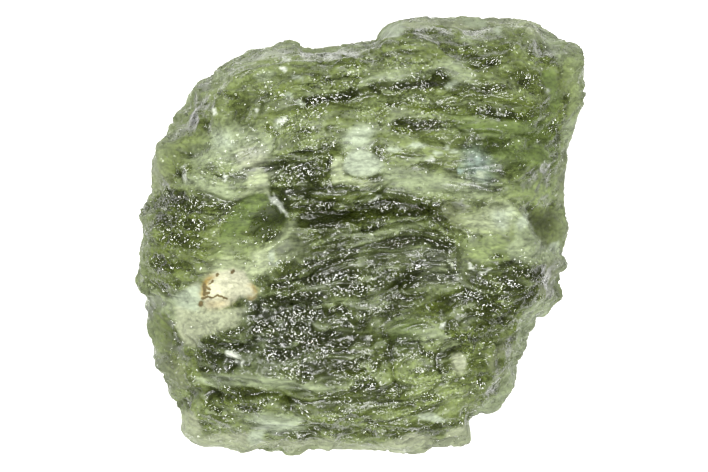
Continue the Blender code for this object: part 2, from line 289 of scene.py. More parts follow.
# %% [markdown]
# ## The large relief
#
# Hollows and swells are soft mounds, given by a centre, two half-lengths, a turn and a height. Ledges are
# steps: the glass stands up along a line and drops on its near side, as a broken edge of slate does. Both
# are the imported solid's own, so the two stones agree.

# %% Swells, ledges, lumps and pits
SWELLS = [
    ("crown", (-1.0, -1.2), (6.0, 3.2), 12, 0.55),
    ("far_ridge", (3.2, 7.9), (5.0, 1.4), 2, 0.45),
    ("middle_shelf", (2.6, 3.2), (3.6, 1.5), -6, 0.25),
    ("scoop", (-4.9, 0.9), (1.9, 1.15), 35, -1.05),
    ("scoop_rim", (-3.4, 1.2), (0.45, 1.5), 20, 0.40),
    ("haze_shelf", (-6.6, 3.9), (2.4, 1.4), -12, -0.30),
    ("pale_pocket", (-7.0, -2.6), (2.4, 1.35), 22, -0.75),
    ("grain_pit", (-6.5, -2.4), (0.95, 0.70), 10, -0.40),
    ("blister", (-0.1, 3.7), (1.0, 1.15), 0, 0.30),
    ("deep_band", (1.2, 1.0), (3.6, 0.75), -5, -0.55),
    ("right_pan", (6.8, 0.9), (1.9, 1.2), 14, -0.45),
    ("right_window", (9.2, 0.6), (0.9, 0.9), 0, -0.60),
    ("near_right_basin", (2.4, -5.2), (1.5, 1.5), 40, -0.50),
    ("near_trough", (-4.2, -7.8), (4.0, 0.60), -4, -0.50),
    ("near_right_groove", (6.4, -5.2), (1.6, 0.60), 25, -0.45),
    ("dark_bowl", (-5.8, -5.9), (2.0, 0.75), 0, -0.40),
    ("far_dip", (7.6, 4.4), (2.4, 0.55), 3, -0.35),
]

LEDGES = [
    ("far_brow", [(-6.5, 6.9), (-5.7, 7.5), (-4.6, 7.9), (-2.8, 8.0)], 0.42),
    ("far_ledge", [(-3.6, 7.0), (-2.2, 7.5), (0.4, 7.7), (2.6, 8.3), (4.6, 8.5)], 0.34),
    ("long_ledge", [(-5.2, 5.8), (-2.4, 6.3), (0.4, 6.4), (2.6, 6.9), (4.6, 7.0), (7.6, 6.4), (9.2, 6.2)],
        0.40),
    ("middle_ledge", [(1.8, 5.2), (4.0, 5.4), (6.6, 5.4), (9.0, 4.9)], 0.30),
    ("dark_edge", [(-2.8, 2.1), (-0.4, 1.9), (1.4, 2.0), (3.6, 1.4), (5.0, 0.5)], 0.42),
    ("arch_ledge", [(-2.4, -0.5), (0.0, 0.4), (2.2, 0.7), (4.4, 0.3)], 0.30),
    ("climbing_ledge", [(-3.6, -2.4), (-1.4, -1.2), (0.8, -0.7), (3.2, -0.5)], 0.34),
    ("second_climb", [(-4.8, -3.4), (-2.6, -3.0), (0.4, -2.8), (2.6, -1.8), (5.4, -1.6)], 0.34),
    ("basin_rim", [(-0.4, -4.4), (1.0, -3.7), (2.8, -3.6), (4.4, -4.2)], 0.32),
    ("pocket_foot", [(-8.8, -4.2), (-7.6, -5.4), (-5.8, -5.0), (-4.2, -4.5)], 0.36),
    ("near_double", [(-7.6, -6.7), (-5.6, -6.8), (-3.4, -7.2), (-1.2, -7.9)], 0.38),
    ("near_ledge", [(-7.4, -8.2), (-4.6, -8.2), (-2.0, -8.8), (1.0, -8.7)], 0.34),
    ("lip_ledge", [(-5.6, -8.9), (-3.4, -9.2), (0.4, -9.0), (3.4, -9.0), (6.0, -8.3)], 0.34),
]
LEDGE_STEP = 0.16
LEDGE_REACH = 1.3
LEDGE_FADE = 1.2  # mm over which a ledge begins and ends
LEDGE_FOOT = 0.35  # depth of the groove under a ledge, as a share of its height
MOUND_POWER = 1.25

# Spacing and length in mm, and the height of the ridges or the width of the lines
FLOW_RIDGES = [(3.1, 13.0, 0.42), (1.5, 7.0, 0.24)]
FLOW_LINES = [(3.1, 13.0, 0.035), (1.5, 7.0, 0.05), (0.8, 5.0, 0.07)]
LINE_HEIGHT = 0.10
# Width and height of the lumps; spacing, half-width as a share of it, and depth of the pits
LUMPS = [(9.0, 0.70), (4.2, 0.38), (2.1, 0.17)]
PITS = [(3.4, 0.50, 0.46), (1.8, 0.50, 0.22)]
PIT_SHARE = 0.5
print(len(SWELLS), "swells and", len(LEDGES), "ledges")

# %% Heights of the relief
RIDGE_SHIFT, LUMP_SHIFT, PIT_SHIFT = 7.3, 3.7, 11.1  # of the noise, from one size to the next
RIDGE_TOP = 0.55  # a ridge's top, as a share of its height
RIDGE_FALL = 2.2
RIDGE_DEPTH = 0.45  # how deep a ridge's layer is, as a share of its length


def mound(x, y, centre, sizes, turn):
    """1 in the middle of an oval, fading to 0 around it."""
    c, s = math.cos(math.radians(turn)), math.sin(math.radians(turn))
    u = ((x - centre[0]) * c + (y - centre[1]) * s) / sizes[0]
    v = (-(x - centre[0]) * s + (y - centre[1]) * c) / sizes[1]
    return np.exp(-((u * u + v * v) ** MOUND_POWER))


def swell_height(x, y):
    return sum(rise * mound(x, y, centre, sizes, turn) for _, centre, sizes, turn, rise in SWELLS)


def ledge_height(x, y):
    """Each ledge steps up along its line, falls off slowly behind it and has a groove at its foot."""
    height = np.zeros(len(x))
    for _, line, rise in LEDGES:
        path = curve_through(line)
        ahead = y - np.interp(x, path[:, 0], path[:, 1])
        step = 0.5 + 0.5 * np.tanh(ahead / LEDGE_STEP)
        behind = np.exp(-np.maximum(ahead, 0) / LEDGE_REACH)
        foot = LEDGE_FOOT * np.exp(-((np.minimum(ahead, 0) / LEDGE_STEP + 1.2) ** 2)) * (ahead < 0)
        ends = smoothstep(0, LEDGE_FADE, x - path[0, 0]) * smoothstep(0, LEDGE_FADE, path[-1, 0] - x)
        height += rise * ends * (step * behind - foot)
    return height


def perlin(points):
    """Smooth noise of about -1 to 1, read at each point."""
    return np.array([noise.noise(p) for p in points.tolist()])


def flow_noise(points, number, spacing, length):
    """Noise drawn out along the flow, a new one for each number."""
    along, across, down = layer_coordinates(points)
    shifted = along / length + RIDGE_SHIFT * number
    return perlin(np.stack([shifted, across / spacing, down / (RIDGE_DEPTH * length)], 1))


def flow_height(points):
    height = np.zeros(len(points))
    for number, (spacing, length, rise) in enumerate(FLOW_RIDGES):
        height += rise * (RIDGE_TOP - RIDGE_FALL * np.abs(flow_noise(points, number, spacing, length)))
    return height


def flow_lines(points):
    """1 on the crest lines of the ridges along the flow."""
    lines = np.zeros(len(points))
    for number, (spacing, length, width) in enumerate(FLOW_LINES):
        lines = np.maximum(lines, np.exp(-((flow_noise(points, number, spacing, length) / width) ** 2)))
    return lines


def lump_height(points):
    height = np.zeros(len(points))
    for number, (width, rise) in enumerate(LUMPS):
        height += rise * perlin(points / (0.5 * width) + LUMP_SHIFT * (number + 1))
    return height


def pit_height(points):
    """Round pits, in a share of the noise's cells."""
    height = np.zeros(len(points))
    for number, (spacing, share, depth) in enumerate(PITS):
        shifted = points / spacing + PIT_SHIFT * (number + 1)
        spots = [noise.voronoi(p) for p in shifted.tolist()]
        near = np.array([d[0] for d, _ in spots])
        kept = np.array([noise.cell(c[0] * 5.0) > 1 - 2 * PIT_SHARE for _, c in spots])
        height -= kept * depth * np.clip(1 - (near / share) ** 2, 0, 1)
    return height


# %% [markdown]
# ## Crests and grooves
#
# Between the ledges run finer lines that the eye follows across the stone. They go in every direction, so
# each is a short path with a width and a height, and its profile is a soft bump measured by the distance
# from the path. A crest has a positive height and a groove a negative one.

# %% Crests and grooves: path, half-width and height in millimetres
CRESTS = [
    ("brow", [(-6.5, 6.95), (-5.75, 7.55), (-4.9, 7.9), (-3.0, 8.0), (-2.6, 7.75)], 0.16, 0.14),
    ("shelf_rim", [(-3.95, 6.9), (-2.8, 7.55), (-1.8, 7.25), (0.0, 7.35), (0.6, 7.85), (2.8, 8.05), (4.1,
        8.4), (5.4, 7.95), (6.5, 8.1), (7.05, 8.65), (8.0, 8.9)], 0.13, 0.15),
    ("long_line", [(-5.0, 5.75), (-3.45, 6.0), (-2.3, 6.15), (-0.85, 6.3), (0.0, 6.6)], 0.13, 0.13),
    ("bright_line", [(1.6, 6.85), (2.3, 7.08), (3.4, 7.0), (4.5, 6.8)], 0.11, 0.16),
    ("under_line", [(2.2, 6.3), (3.4, 6.2), (5.0, 6.15), (6.2, 6.4), (8.6, 5.9)], 0.11, 0.12),
    ("glint_line", [(3.8, 6.05), (4.6, 6.1), (5.1, 6.15)], 0.10, 0.10),
    ("pit_rim", [(1.4, 5.4), (2.6, 5.0), (3.9, 5.1), (5.2, 5.3), (7.0, 5.35), (8.6, 5.1)], 0.11, 0.12),
    ("fan_one", [(-1.2, 1.75), (0.0, 2.0), (1.3, 1.9)], 0.10, 0.13),
    ("fan_two", [(-1.4, 1.45), (0.0, 1.7), (1.2, 2.0)], 0.09, 0.10),
    ("dark_lip", [(2.8, 2.05), (3.9, 2.1), (4.6, 1.8)], 0.10, 0.13),
    ("arch", [(-2.6, -0.5), (-0.9, 0.0), (0.9, 0.12), (2.6, 0.52), (3.6, 0.42), (4.4, 0.12), (5.0, 0.15)],
        0.12, 0.15),
    ("arch_echo", [(-2.2, -1.2), (0.0, -0.4), (2.4, 0.1), (4.2, -0.3)], 0.09, 0.09),
    ("low_arch", [(-2.8, -3.6), (-0.4, -3.2), (2.0, -3.3), (3.6, -3.1)], 0.11, 0.11),
    ("first_double", [(-8.1, -6.8), (-6.9, -6.75), (-5.9, -6.85), (-4.8, -7.0), (-3.4, -7.4)], 0.09,
        0.13),
    ("second_double", [(-6.9, -7.2), (-5.9, -7.35), (-4.8, -7.3), (-3.2, -7.8), (-2.3, -8.1)], 0.09,
        0.13),
    ("lower_line", [(-7.85, -8.5), (-6.9, -8.3), (-5.7, -8.25), (-4.4, -8.5), (-3.0, -8.8)], 0.12, 0.12),
    ("block_top", [(-5.7, -8.95), (-4.0, -9.0), (-2.0, -9.0), (-0.4, -9.3)], 0.12, 0.14),
    ("lip_line", [(0.4, -9.1), (1.75, -8.85), (3.0, -8.95), (4.5, -9.1), (5.5, -8.7), (6.6, -8.2)], 0.13,
        0.13),
    ("right_ridge", [(6.35, -6.8), (6.65, -5.3), (7.1, -5.0), (7.7, -4.7), (7.8, -3.75), (8.55, -3.6),
        (8.9, -3.9)], 0.14, 0.20),
    ("outer_ridge", [(7.0, -7.6), (7.3, -6.4), (7.8, -5.4), (8.3, -4.6)], 0.15, 0.14),
    ("scoop_edge", [(-4.45, 1.9), (-3.75, 1.15), (-3.45, 0.75), (-3.6, 0.1), (-4.3, -0.5), (-5.3, -0.9)],
        0.13, 0.22),
    ("left_edge", [(-9.2, -3.1), (-8.9, -4.6), (-8.3, -5.4), (-8.1, -6.6), (-7.7, -7.4), (-7.9, -8.4)],
        0.16, 0.20),
    ("haze_edge", [(-9.2, 4.2), (-8.4, 3.0), (-7.0, 2.1), (-6.0, 1.9), (-5.3, 2.3)], 0.14, 0.14),
    ("pocket_wall", [(-9.6, -1.6), (-8.6, -1.0), (-7.2, -0.9), (-6.0, -1.3)], 0.13, 0.14),
    ("basin_north", [(0.9, -4.7), (2.0, -3.95), (3.2, -3.8), (4.3, -4.3)], 0.12, 0.15),
    ("basin_east", [(3.5, -5.5), (4.2, -4.9), (5.1, -5.0), (5.5, -5.7)], 0.11, 0.13),
    ("pan_rim", [(4.0, 1.85), (5.5, 2.0), (7.0, 1.7), (7.9, 1.0), (8.2, 0.3), (8.6, -0.1), (9.8, -0.15)],
        0.12, 0.15),
    ("right_edge", [(9.7, 9.0), (9.9, 7.6), (9.8, 6.0), (10.0, 4.4)], 0.15, 0.16),
    ("pan_ribs", [(4.2, 1.5), (4.5, 1.1), (4.3, 0.7)], 0.10, 0.08),
    ("far_crack", [(-0.2, 8.9), (2.4, 9.2), (4.8, 9.0), (7.2, 9.5)], 0.12, 0.10),
    ("far_crack_low", [(1.0, 8.6), (3.6, 8.9), (6.4, 8.9)], 0.10, 0.09),
    ("curl_back", [(1.8, -4.2), (3.05, -4.05), (3.9, -4.5), (4.0, -5.2)], 0.12, 0.10),
]

GROOVES = [
    ("long_groove", [(-2.9, 6.6), (-1.0, 6.75), (0.6, 7.2), (2.4, 7.45), (4.4, 7.3), (6.6, 7.0)], 0.22,
        -0.22),
    ("recess", [(3.4, 7.6), (3.8, 7.8), (4.3, 7.4)], 0.24, -0.25),
    ("lens_pit", [(1.7, 5.6), (2.6, 5.5), (3.8, 5.55)], 0.26, -0.22),
    ("right_groove", [(5.2, 6.0), (7.0, 5.8), (8.8, 5.6)], 0.16, -0.20),
    ("middle_groove", [(-2.9, 2.2), (-1.2, 2.4), (0.0, 2.35)], 0.18, -0.18),
    ("dark_groove", [(-2.6, 0.9), (-0.4, 1.2), (1.6, 1.5), (3.8, 1.1)], 0.30, -0.22),
    ("under_arch", [(-1.6, -0.8), (1.0, -0.3), (3.0, -0.1), (4.6, -0.7)], 0.20, -0.20),
    ("left_arc", [(-5.1, -3.9), (-4.9, -3.2), (-4.1, -3.1)], 0.18, -0.20),
    ("lower_arc", [(-3.8, -3.3), (-2.8, -3.35), (-2.2, -3.6)], 0.14, -0.16),
    ("double_groove", [(-8.0, -7.75), (-6.4, -7.9), (-4.6, -7.7), (-3.2, -8.2)], 0.22, -0.26),
    ("end_hole", [(-0.9, -8.8), (-0.3, -8.8)], 0.24, -0.30),
    ("end_hole_two", [(0.2, -8.9), (0.6, -9.0)], 0.18, -0.22),
    ("basin_floor", [(1.4, -5.0), (2.4, -5.4), (3.0, -6.2)], 0.40, -0.22),
    ("right_cut", [(5.4, -4.6), (6.6, -4.2), (7.4, -4.3)], 0.22, -0.26),
    ("stem_groove", [(1.5, -5.2), (1.6, -6.6), (1.9, -7.7)], 0.20, -0.18),
    ("window_floor", [(8.8, 0.7), (9.6, 0.5)], 0.45, -0.20),
    ("haze_pit", [(-8.7, 4.1), (-8.3, 3.9)], 0.22, -0.24),
    ("curl", [(3.0, -4.9), (2.85, -5.3), (3.1, -5.7), (3.5, -5.8)], 0.13, -0.15),
    ("curl_neck", [(4.0, -5.4), (3.75, -5.9), (3.8, -6.5), (4.2, -6.95)], 0.13, -0.16),
    ("bubble_foot", [(-0.8, 3.4), (-0.55, 2.95), (0.1, 2.78), (0.8, 2.95), (1.15, 3.35)], 0.07, -0.12),
]


# Bands of rough, glinting glass: half-width and path
GLINT_BANDS = [
    (0.24, [(-2.9, 6.55), (-1.5, 6.75), (-0.1, 6.95)]),
    (0.22, [(1.3, 7.15), (2.5, 7.3), (3.7, 7.35)]),
    (0.18, [(0.5, 7.3), (1, 6.95)]),
    (0.15, [(1.2, 6.45), (2, 6.4)]),
    (0.16, [(2.9, 6.15), (4, 6.2), (5.1, 6.25)]),
    (0.26, [(1.4, 5.55), (2.25, 5.15), (3.25, 5.45), (4.05, 5.5)]),
    (0.22, [(5.9, 7.25), (7.15, 7.3)]),
    (0.20, [(6.2, 6.5), (6.35, 5.9)]),
    (0.22, [(6.9, 6.1), (7.9, 5.85), (8.7, 6.15)]),
    (0.18, [(7.8, 7.45), (8.2, 7.65)]),
    (0.24, [(5.15, 9.3), (5.6, 8.75)]),
    (0.18, [(6.1, 8.5), (7, 8.45)]),
    (0.30, [(-2.7, 1.35), (-1.9, 1.45), (-1.1, 1.65)]),
    (0.30, [(-2.5, 0.4), (-1.7, 0.7), (-0.95, 0.45)]),
    (0.30, [(0.8, 1.05), (1.4, 1.45), (1.85, 1.55)]),
    (0.24, [(-0.1, 0.3), (0.75, 0.45), (1.4, 0.85)]),
    (0.30, [(2.3, 1.2), (3, 1.1)]),
    (0.28, [(3.3, 1.15), (3.8, 0.8), (4.45, 0.35)]),
    (0.34, [(1.1, -0.5), (2, -0.2), (3, -0.2), (4, -0.35), (4.65, -0.35)]),
    (0.34, [(-2.8, -1.45), (-2, -1.3), (-1, -1), (0.05, -0.8)]),
    (0.30, [(2, -1.6), (2.55, -1.8), (2.9, -1.3)]),
    (0.30, [(-1.6, -2.75), (-0.5, -2.7), (0.4, -2.5), (1.3, -2.2)]),
    (0.26, [(-1.2, -3.2), (-0.75, -3.75), (-0.05, -3.7)]),
    (0.26, [(-0.15, -4.1), (0.75, -3.75), (2.1, -3.55)]),
    (0.28, [(-4.9, -3.2), (-3.75, -3.05), (-2.75, -2.95), (-1.7, -3.2)]),
    (0.28, [(-4.25, -3.95), (-3, -3.8), (-1.95, -3.95)]),
    (0.32, [(-5.2, -5), (-4.9, -4.45), (-4.3, -4.5), (-4.4, -5.1)]),
    (0.30, [(-3.85, -5), (-3, -4.9), (-2.85, -5.5)]),
    (0.28, [(-2.65, -5.3), (-1.75, -4.95), (-1.2, -4.45)]),
    (0.24, [(-4, -6.4), (-3.1, -6.6), (-2.8, -6.05)]),
    (0.24, [(-3.1, -7.15), (-2.35, -6.8)]),
    (0.24, [(-0.5, -7.6), (0.1, -7.3), (0.95, -7.2)]),
    (0.22, [(1, -4.45), (1.4, -5.1), (1.6, -5.7)]),
    (0.26, [(4.9, -2.65), (6, -3.2), (6.8, -3.85)]),
    (0.26, [(6.6, -3), (7.45, -2.7)]),
    (0.22, [(7.95, -3.05), (8.85, -2.45)]),
    (0.26, [(3.9, -4.45), (5, -4.95), (6, -4.95), (6.6, -5.5)]),
    (0.20, [(4.2, -1.25), (4.7, -1.8)]),
    (0.16, [(6.3, -1.05), (7.05, -0.95)]),
    (0.26, [(-10.35, -0.95), (-9.7, -1.1)]),
    (0.24, [(-8.75, 1.2), (-8.25, 0.4), (-7.95, -0.5)]),
    (0.22, [(-10.85, 1.1), (-10.5, 1.55)]),
    (0.20, [(-9.6, 0.35), (-8.85, 0.55)]),
    (0.24, [(-8.95, 3.15), (-8.3, 3.4)]),
    (0.26, [(-6.1, -8.25), (-5.1, -8.45), (-4.4, -7.9)]),
    (0.20, [(-7.8, -8.2), (-6.7, -8.7)]),
    (0.18, [(-4.6, -0.3), (-4.25, 0.3)]),
    (0.20, [(-3.8, 3.65), (-3.35, 2.95)]),
    (0.22, [(-3.05, 3.25), (-2.4, 2.9), (-1.95, 2.2)]),
    (0.20, [(-1.6, 3.3), (-1.35, 3.9)]),
    (0.22, [(-4.85, 5.35), (-3.9, 5)]),
    (0.20, [(-7, 7.1), (-5.9, 6.75)]),
    (0.20, [(9.25, 5.35), (9.8, 5.15)]),
    (0.20, [(2.9, -5.7), (3.6, -5.85)]),
    (0.16, [(5.8, -6.85), (6, -7.55)]),
    (0.20, [(2.9, -7.9), (4.3, -8)]),
    (0.20, [(-2.1, -5.7), (-1, -5.45), (-0.4, -5.2)]),
    (0.20, [(-1.5, -6.45), (-0.5, -6.3), (0.6, -5.8)]),
    (0.18, [(-6.6, -4.7), (-5.6, -4.55)]),
    (0.22, [(-7.75, -5.45), (-6.9, -5.7)]),
    (0.44, [(-10.2, 1.7), (-9.0, 1.6), (-7.8, 1.5)]),
    (0.44, [(-10.1, 0.8), (-9.0, 0.7), (-7.6, 0.6)]),
    (0.40, [(-9.9, 0), (-8.7, -0.2), (-7.7, -0.3)]),
    (0.36, [(-10.3, -1.3), (-9.5, -1.5), (-8.7, -1.4)]),
    (0.30, [(7.3, -1.6), (8.3, -1.9), (9.3, -2.3)]),
    (0.30, [(6.6, -2.1), (7.6, -2.5), (8.4, -3)]),
    (0.30, [(-3.9, -4.5), (-3, -4.4), (-2.2, -4.5)]),
    (0.30, [(-5, -5.8), (-4, -5.8), (-3.2, -5.9)]),
    (0.26, [(-1.6, -1.9), (-0.5, -1.9), (0.7, -1.6)]),
    (0.26, [(-2.8, -2.2), (-1.9, -2.1), (-0.9, -2)]),
    (0.24, [(-4.7, -2.5), (-3.7, -2.2), (-2.9, -1.9)]),
]
BAND_HEIGHT = 0.10
print(len(CRESTS), "crests,", len(GROOVES), "grooves and", len(GLINT_BANDS), "glint bands")

# %% Strokes
STROKE_REACH = 3.5  # half-widths, beyond which a stroke is nothing
END_FADE, END_SHARE = 0.5, 0.3  # mm over which a stroke ends, and the most of its length


def nearest_on_path(x, y, path):
    """Distance from the path, how far along it the nearest spot is, and the path's length."""
    best = np.full(len(x), np.inf)
    run = np.zeros(len(x))
    steps = np.hypot(*np.diff(path, axis=0).T)
    for i, length in enumerate(steps):
        a, b = path[i], path[i + 1]
        share = ((x - a[0]) * (b[0] - a[0]) + (y - a[1]) * (b[1] - a[1])) / length**2
        share = np.clip(share, 0, 1)
        apart = np.hypot(x - a[0] - share * (b[0] - a[0]), y - a[1] - share * (b[1] - a[1]))
        closer = apart < best
        best[closer] = apart[closer]
        run[closer] = (steps[:i].sum() + share * length)[closer]
    return best, run, steps.sum()


def stroke(x, y, line, width):
    """1 on the path, 0 away from it, and fading at both ends."""
    path = curve_through(line, steps=4)
    mask = np.zeros(len(x))
    low, high = path.min(0) - STROKE_REACH * width, path.max(0) + STROKE_REACH * width
    near = np.flatnonzero((x > low[0]) & (x < high[0]) & (y > low[1]) & (y < high[1]))
    apart, run, total = nearest_on_path(x[near], y[near], path)
    fade = min(END_FADE, END_SHARE * total)
    ends = smoothstep(-width, fade, run) * smoothstep(-width, fade, total - run)
    mask[near] = np.exp(-((apart / width) ** 2)) * ends
    return mask


def stroke_height(x, y):
    height = np.zeros(len(x))
    for _, line, width, rise in CRESTS + GROOVES:
        height += rise * stroke(x, y, line, width)
    return height


def glint_bands(x, y):
    return np.maximum.reduce([stroke(x, y, line, width) for width, line in GLINT_BANDS])


print("the highest crest stands", max(rise for _, _, _, rise in CRESTS), "mm over the face")

# %% [markdown]
# ## Putting the relief on
#
# Heights are laid along the body's own normals. The face's marks fade out towards the sides, which get
# more lumps and pits instead. Last, each one-degree sector of the rim is moved until it reaches the
# outline, and the lowest bulge is cut flat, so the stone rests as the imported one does.

# %% Carving
RIM_END = 0.99  # share of the way out to the rim from which points move with it in full
FACE_SLOPE = (0.15, 0.75)  # upward part of the normal, at the sides and on the face
LESS_RIDGE_ON_FACE = 0.25
LESS_LUMP_ON_FACE = 0.45


def fit_outline(points):
    """Moves each degree of the rim until it reaches the outline."""
    angle = np.arctan2(points[:, 1], points[:, 0]) % FULL_TURN
    radius = np.hypot(points[:, 0], points[:, 1])
    sector = np.degrees(angle).astype(int) % CIRCLE
    reach = np.zeros(CIRCLE)
    np.maximum.at(reach, sector, radius)
    middle = np.radians(np.arange(CIRCLE) + 0.5)
    scale = np.interp(angle, middle, outline_radius(middle) / reach, period=FULL_TURN)
    near_rim = smoothstep(RIM_SHARE, RIM_END, radius / np.interp(angle, middle, reach, period=FULL_TURN))
    points[:, :2] *= (1 + (scale - 1) * near_rim)[:, None]


def carve(points, normals):
    """Lays the relief on the body. Returns the fine part of it and the level to rest at."""
    facing_up = smoothstep(*FACE_SLOPE, normals[:, 2])
    x, y = points[:, 0].copy(), points[:, 1].copy()
    fine = facing_up * (ledge_height(x, y) + stroke_height(x, y))
    fine += flow_height(points) * (1 - LESS_RIDGE_ON_FACE * facing_up)
    fine += LINE_HEIGHT * flow_lines(points) + BAND_HEIGHT * facing_up * glint_bands(x, y)
    height = fine + facing_up * swell_height(x, y)
    height += lump_height(points) * (1 - LESS_LUMP_ON_FACE * facing_up)
    height += pit_height(points) * (1 - facing_up)
    points += normals * height[:, None]
    fit_outline(points)
    return fine, points[:, 2].min() + REST_CUT


# %% Making the body


def read_vectors(data, key, count):
    flat = np.empty(3 * count, np.float32)
    data.foreach_get(key, flat)
    return flat.reshape(-1, 3).astype(float)


def write_points(mesh, points):
    mesh.vertices.foreach_set("co", points.astype(np.float32).ravel())
    mesh.update()


BALL_LEVELS = 8


def make_body():
    ball = bmesh.new()
    bmesh.ops.create_icosphere(ball, subdivisions=BALL_LEVELS, radius=1.0)
    mesh = bpy.data.meshes.new("body")
    ball.to_mesh(mesh)
    ball.free()
    count = len(mesh.vertices)
    points = smooth_body(read_vectors(mesh.vertices, "co", count))
    cut_side_faces(points)
    write_points(mesh, points)
    fine, rest_level = carve(points, read_vectors(mesh.vertex_normals, "vector", count))
    write_points(mesh, points)
    # The fine relief is kept for the finish, which paints high relief paler and low relief darker, as
    # painted light and shade.
    relief = mesh.attributes.new("relief", "FLOAT", "POINT")
    relief.data.foreach_set("value", fine.astype(np.float32))
    return mesh, rest_level


body_mesh, rest_level = make_body()
print("body has", len(body_mesh.polygons), "faces and rests at", round(rest_level, 2), "mm")

# %% [markdown]
# ## The etching
#
# The fine ridges and the etch pits repeat all over the stone, so Geometry Nodes make them. The tree reads
# the flow coordinates from the mesh and makes three things along them: ridges, from a noise that is sharp
# on top and round below, which is how water etches layered glass, shallow cups with raised rims, and
# terraces with a steep front. It adds small round pits, and moves each point along its normal, less where
# the glass is calm. It also writes down a mask of painted light for the finish: a painted highlight on the
# crests, the cup rims and the terrace lips, and painted shade at the terraces' feet.

# %% Sizes of the etching, in millimetres
ETCH_SIZES = {
    "Ridge Spacing": 0.62, "Ridge Length": 2.6, "Ridge Height": 0.06,
    "Pit Size": 0.36, "Pit Depth": 0.03,
    "Cup Width": 1.2, "Cup Depth": 0.36,
    "Terrace Width": 1.5, "Terrace Height": 0.34,
}
RIDGE_SHARPNESS = 5.0
MEAN_CREST = 0.45  # taken off, so that the ridges don't make the stone larger
CUP_SHARES = (0.5, 1.0, 0.7)  # cups are longest along the flow
MEAN_CUP = 0.2
TERRACE_SWAY = 5.0
TERRACE_FRONT = 0.84  # share of a terrace's width where its steep front begins
print("terraces are", ETCH_SIZES["Terrace Width"], "mm wide and cups", ETCH_SIZES["Cup Width"], "mm")

# %% Short calls for nodes and attributes


def attribute_of(mesh, name, kind, values):
    layer = mesh.attributes.new(name, kind, "POINT")
    key = {"FLOAT": "value", "FLOAT_VECTOR": "vector", "FLOAT_COLOR": "color"}[kind]
    layer.data.foreach_set(key, np.ascontiguousarray(values, np.float32).ravel())


class Tree:
    """Short calls for adding and joining nodes."""

    def __init__(self, tree):
        self.tree = tree

    def node(self, kind, inputs=None, **settings):
        made = self.tree.nodes.new(kind)
        for name, value in settings.items():
            setattr(made, name, value)
        for name, value in (inputs or {}).items():
            self.feed(made.inputs[name], value)
        return made

    def feed(self, socket, value):
        if isinstance(value, bpy.types.NodeSocket):
            self.tree.links.new(value, socket)
        else:
            socket.default_value = value

    def math(self, operation, *values, clamp=False):
        made = self.node("ShaderNodeMath", operation=operation, use_clamp=clamp)
        for socket, value in zip(made.inputs, values):
            self.feed(socket, value)
        return made.outputs[0]

    def vector(self, operation, *values):
        made = self.node("ShaderNodeVectorMath", operation=operation)
        for socket, value in zip(made.inputs, values):
            self.feed(socket, value)
        return made.outputs[0]

    def step(self, value, low, high, to_low=0.0, to_high=1.0):
        made = self.node("ShaderNodeMapRange", interpolation_type="SMOOTHSTEP")
        for name, number in (("Value", value), ("From Min", low), ("From Max", high), ("To Min", to_low),
                             ("To Max", to_high)):
            self.feed(made.inputs[name], number)
        return made.outputs["Result"]

    def combine(self, x, y, z):
        return self.node("ShaderNodeCombineXYZ", {"X": x, "Y": y, "Z": z}).outputs[0]

    def triple(self, value):
        """A vector with the same number three times."""
        return self.combine(value, value, value)

    def axis(self, vector, name):
        return self.node("ShaderNodeSeparateXYZ", {"Vector": vector}).outputs[name]

    def fractal(self, place, scale=1.0, **shape):
        """A noise's outputs. The shape is its detail, roughness and the like."""
        return self.node("ShaderNodeTexNoise", {"Vector": place, "Scale": scale, **shape}).outputs

    def cells(self, place, scale=1.0):
        """The outputs of a texture of cells, such as the distance from the middle of the nearest."""
        return self.node("ShaderNodeTexVoronoi", {"Vector": place, "Scale": scale}, feature="F1").outputs

    def off_middle(self, value):
        """How far a noise is from its middle, either way. It is 0 along winding lines."""
        return self.math("ABSOLUTE", self.math("SUBTRACT", value, 0.5))

    def mix(self, share, one, other, blend="MIX"):
        """Two colours mixed."""
        made = self.node("ShaderNodeMix", data_type="RGBA", blend_type=blend)
        for number, value in ((0, share), (6, one), (7, other)):
            self.feed(made.inputs[number], value)
        return made.outputs[2]

    def socket(self, name, kind, way="INPUT", value=None):
        made = self.tree.interface.new_socket(name, in_out=way, socket_type=kind)
        if value is not None:
            made.default_value = value


# %% Build the etching tree


def etch_ridges(t, flow, given):
    """Height of the fine ridges, and 1 on their crests."""
    length, spacing = given["Ridge Length"], given["Ridge Spacing"]
    shares = ((1.0, length), (1.0, spacing), (2.0, length))
    stretch = t.combine(*(t.math("DIVIDE", share, size) for share, size in shares))
    grain = t.fractal(t.vector("MULTIPLY", flow, stretch), Detail=2.0, Roughness=0.6, Lacunarity=2.1,
                      Distortion=0.25)
    slope = t.math("MULTIPLY", t.off_middle(grain[0]), RIDGE_SHARPNESS)
    crest = t.math("SUBTRACT", 1.0, slope, clamp=True)
    return t.math("MULTIPLY", t.math("SUBTRACT", crest, MEAN_CREST), given["Ridge Height"]), crest


def etch_cups(t, flow, given):
    """Height of the cups, and how far each point is from the middle of its cup."""
    width = given["Cup Width"]
    bend = t.fractal(flow, t.math("DIVIDE", 0.5, width), Detail=1.0)["Color"]
    push = t.vector("MULTIPLY", t.vector("SUBTRACT", bend, (0.5, 0.5, 0.5)), t.triple(width))
    stretch = t.combine(*(t.math("DIVIDE", share, width) for share in CUP_SHARES))
    apart = t.cells(t.vector("MULTIPLY", t.vector("ADD", flow, push), stretch))["Distance"]
    rise = t.math("SUBTRACT", t.math("POWER", apart, 2.0), MEAN_CUP)
    return t.math("MULTIPLY", rise, given["Cup Depth"]), apart


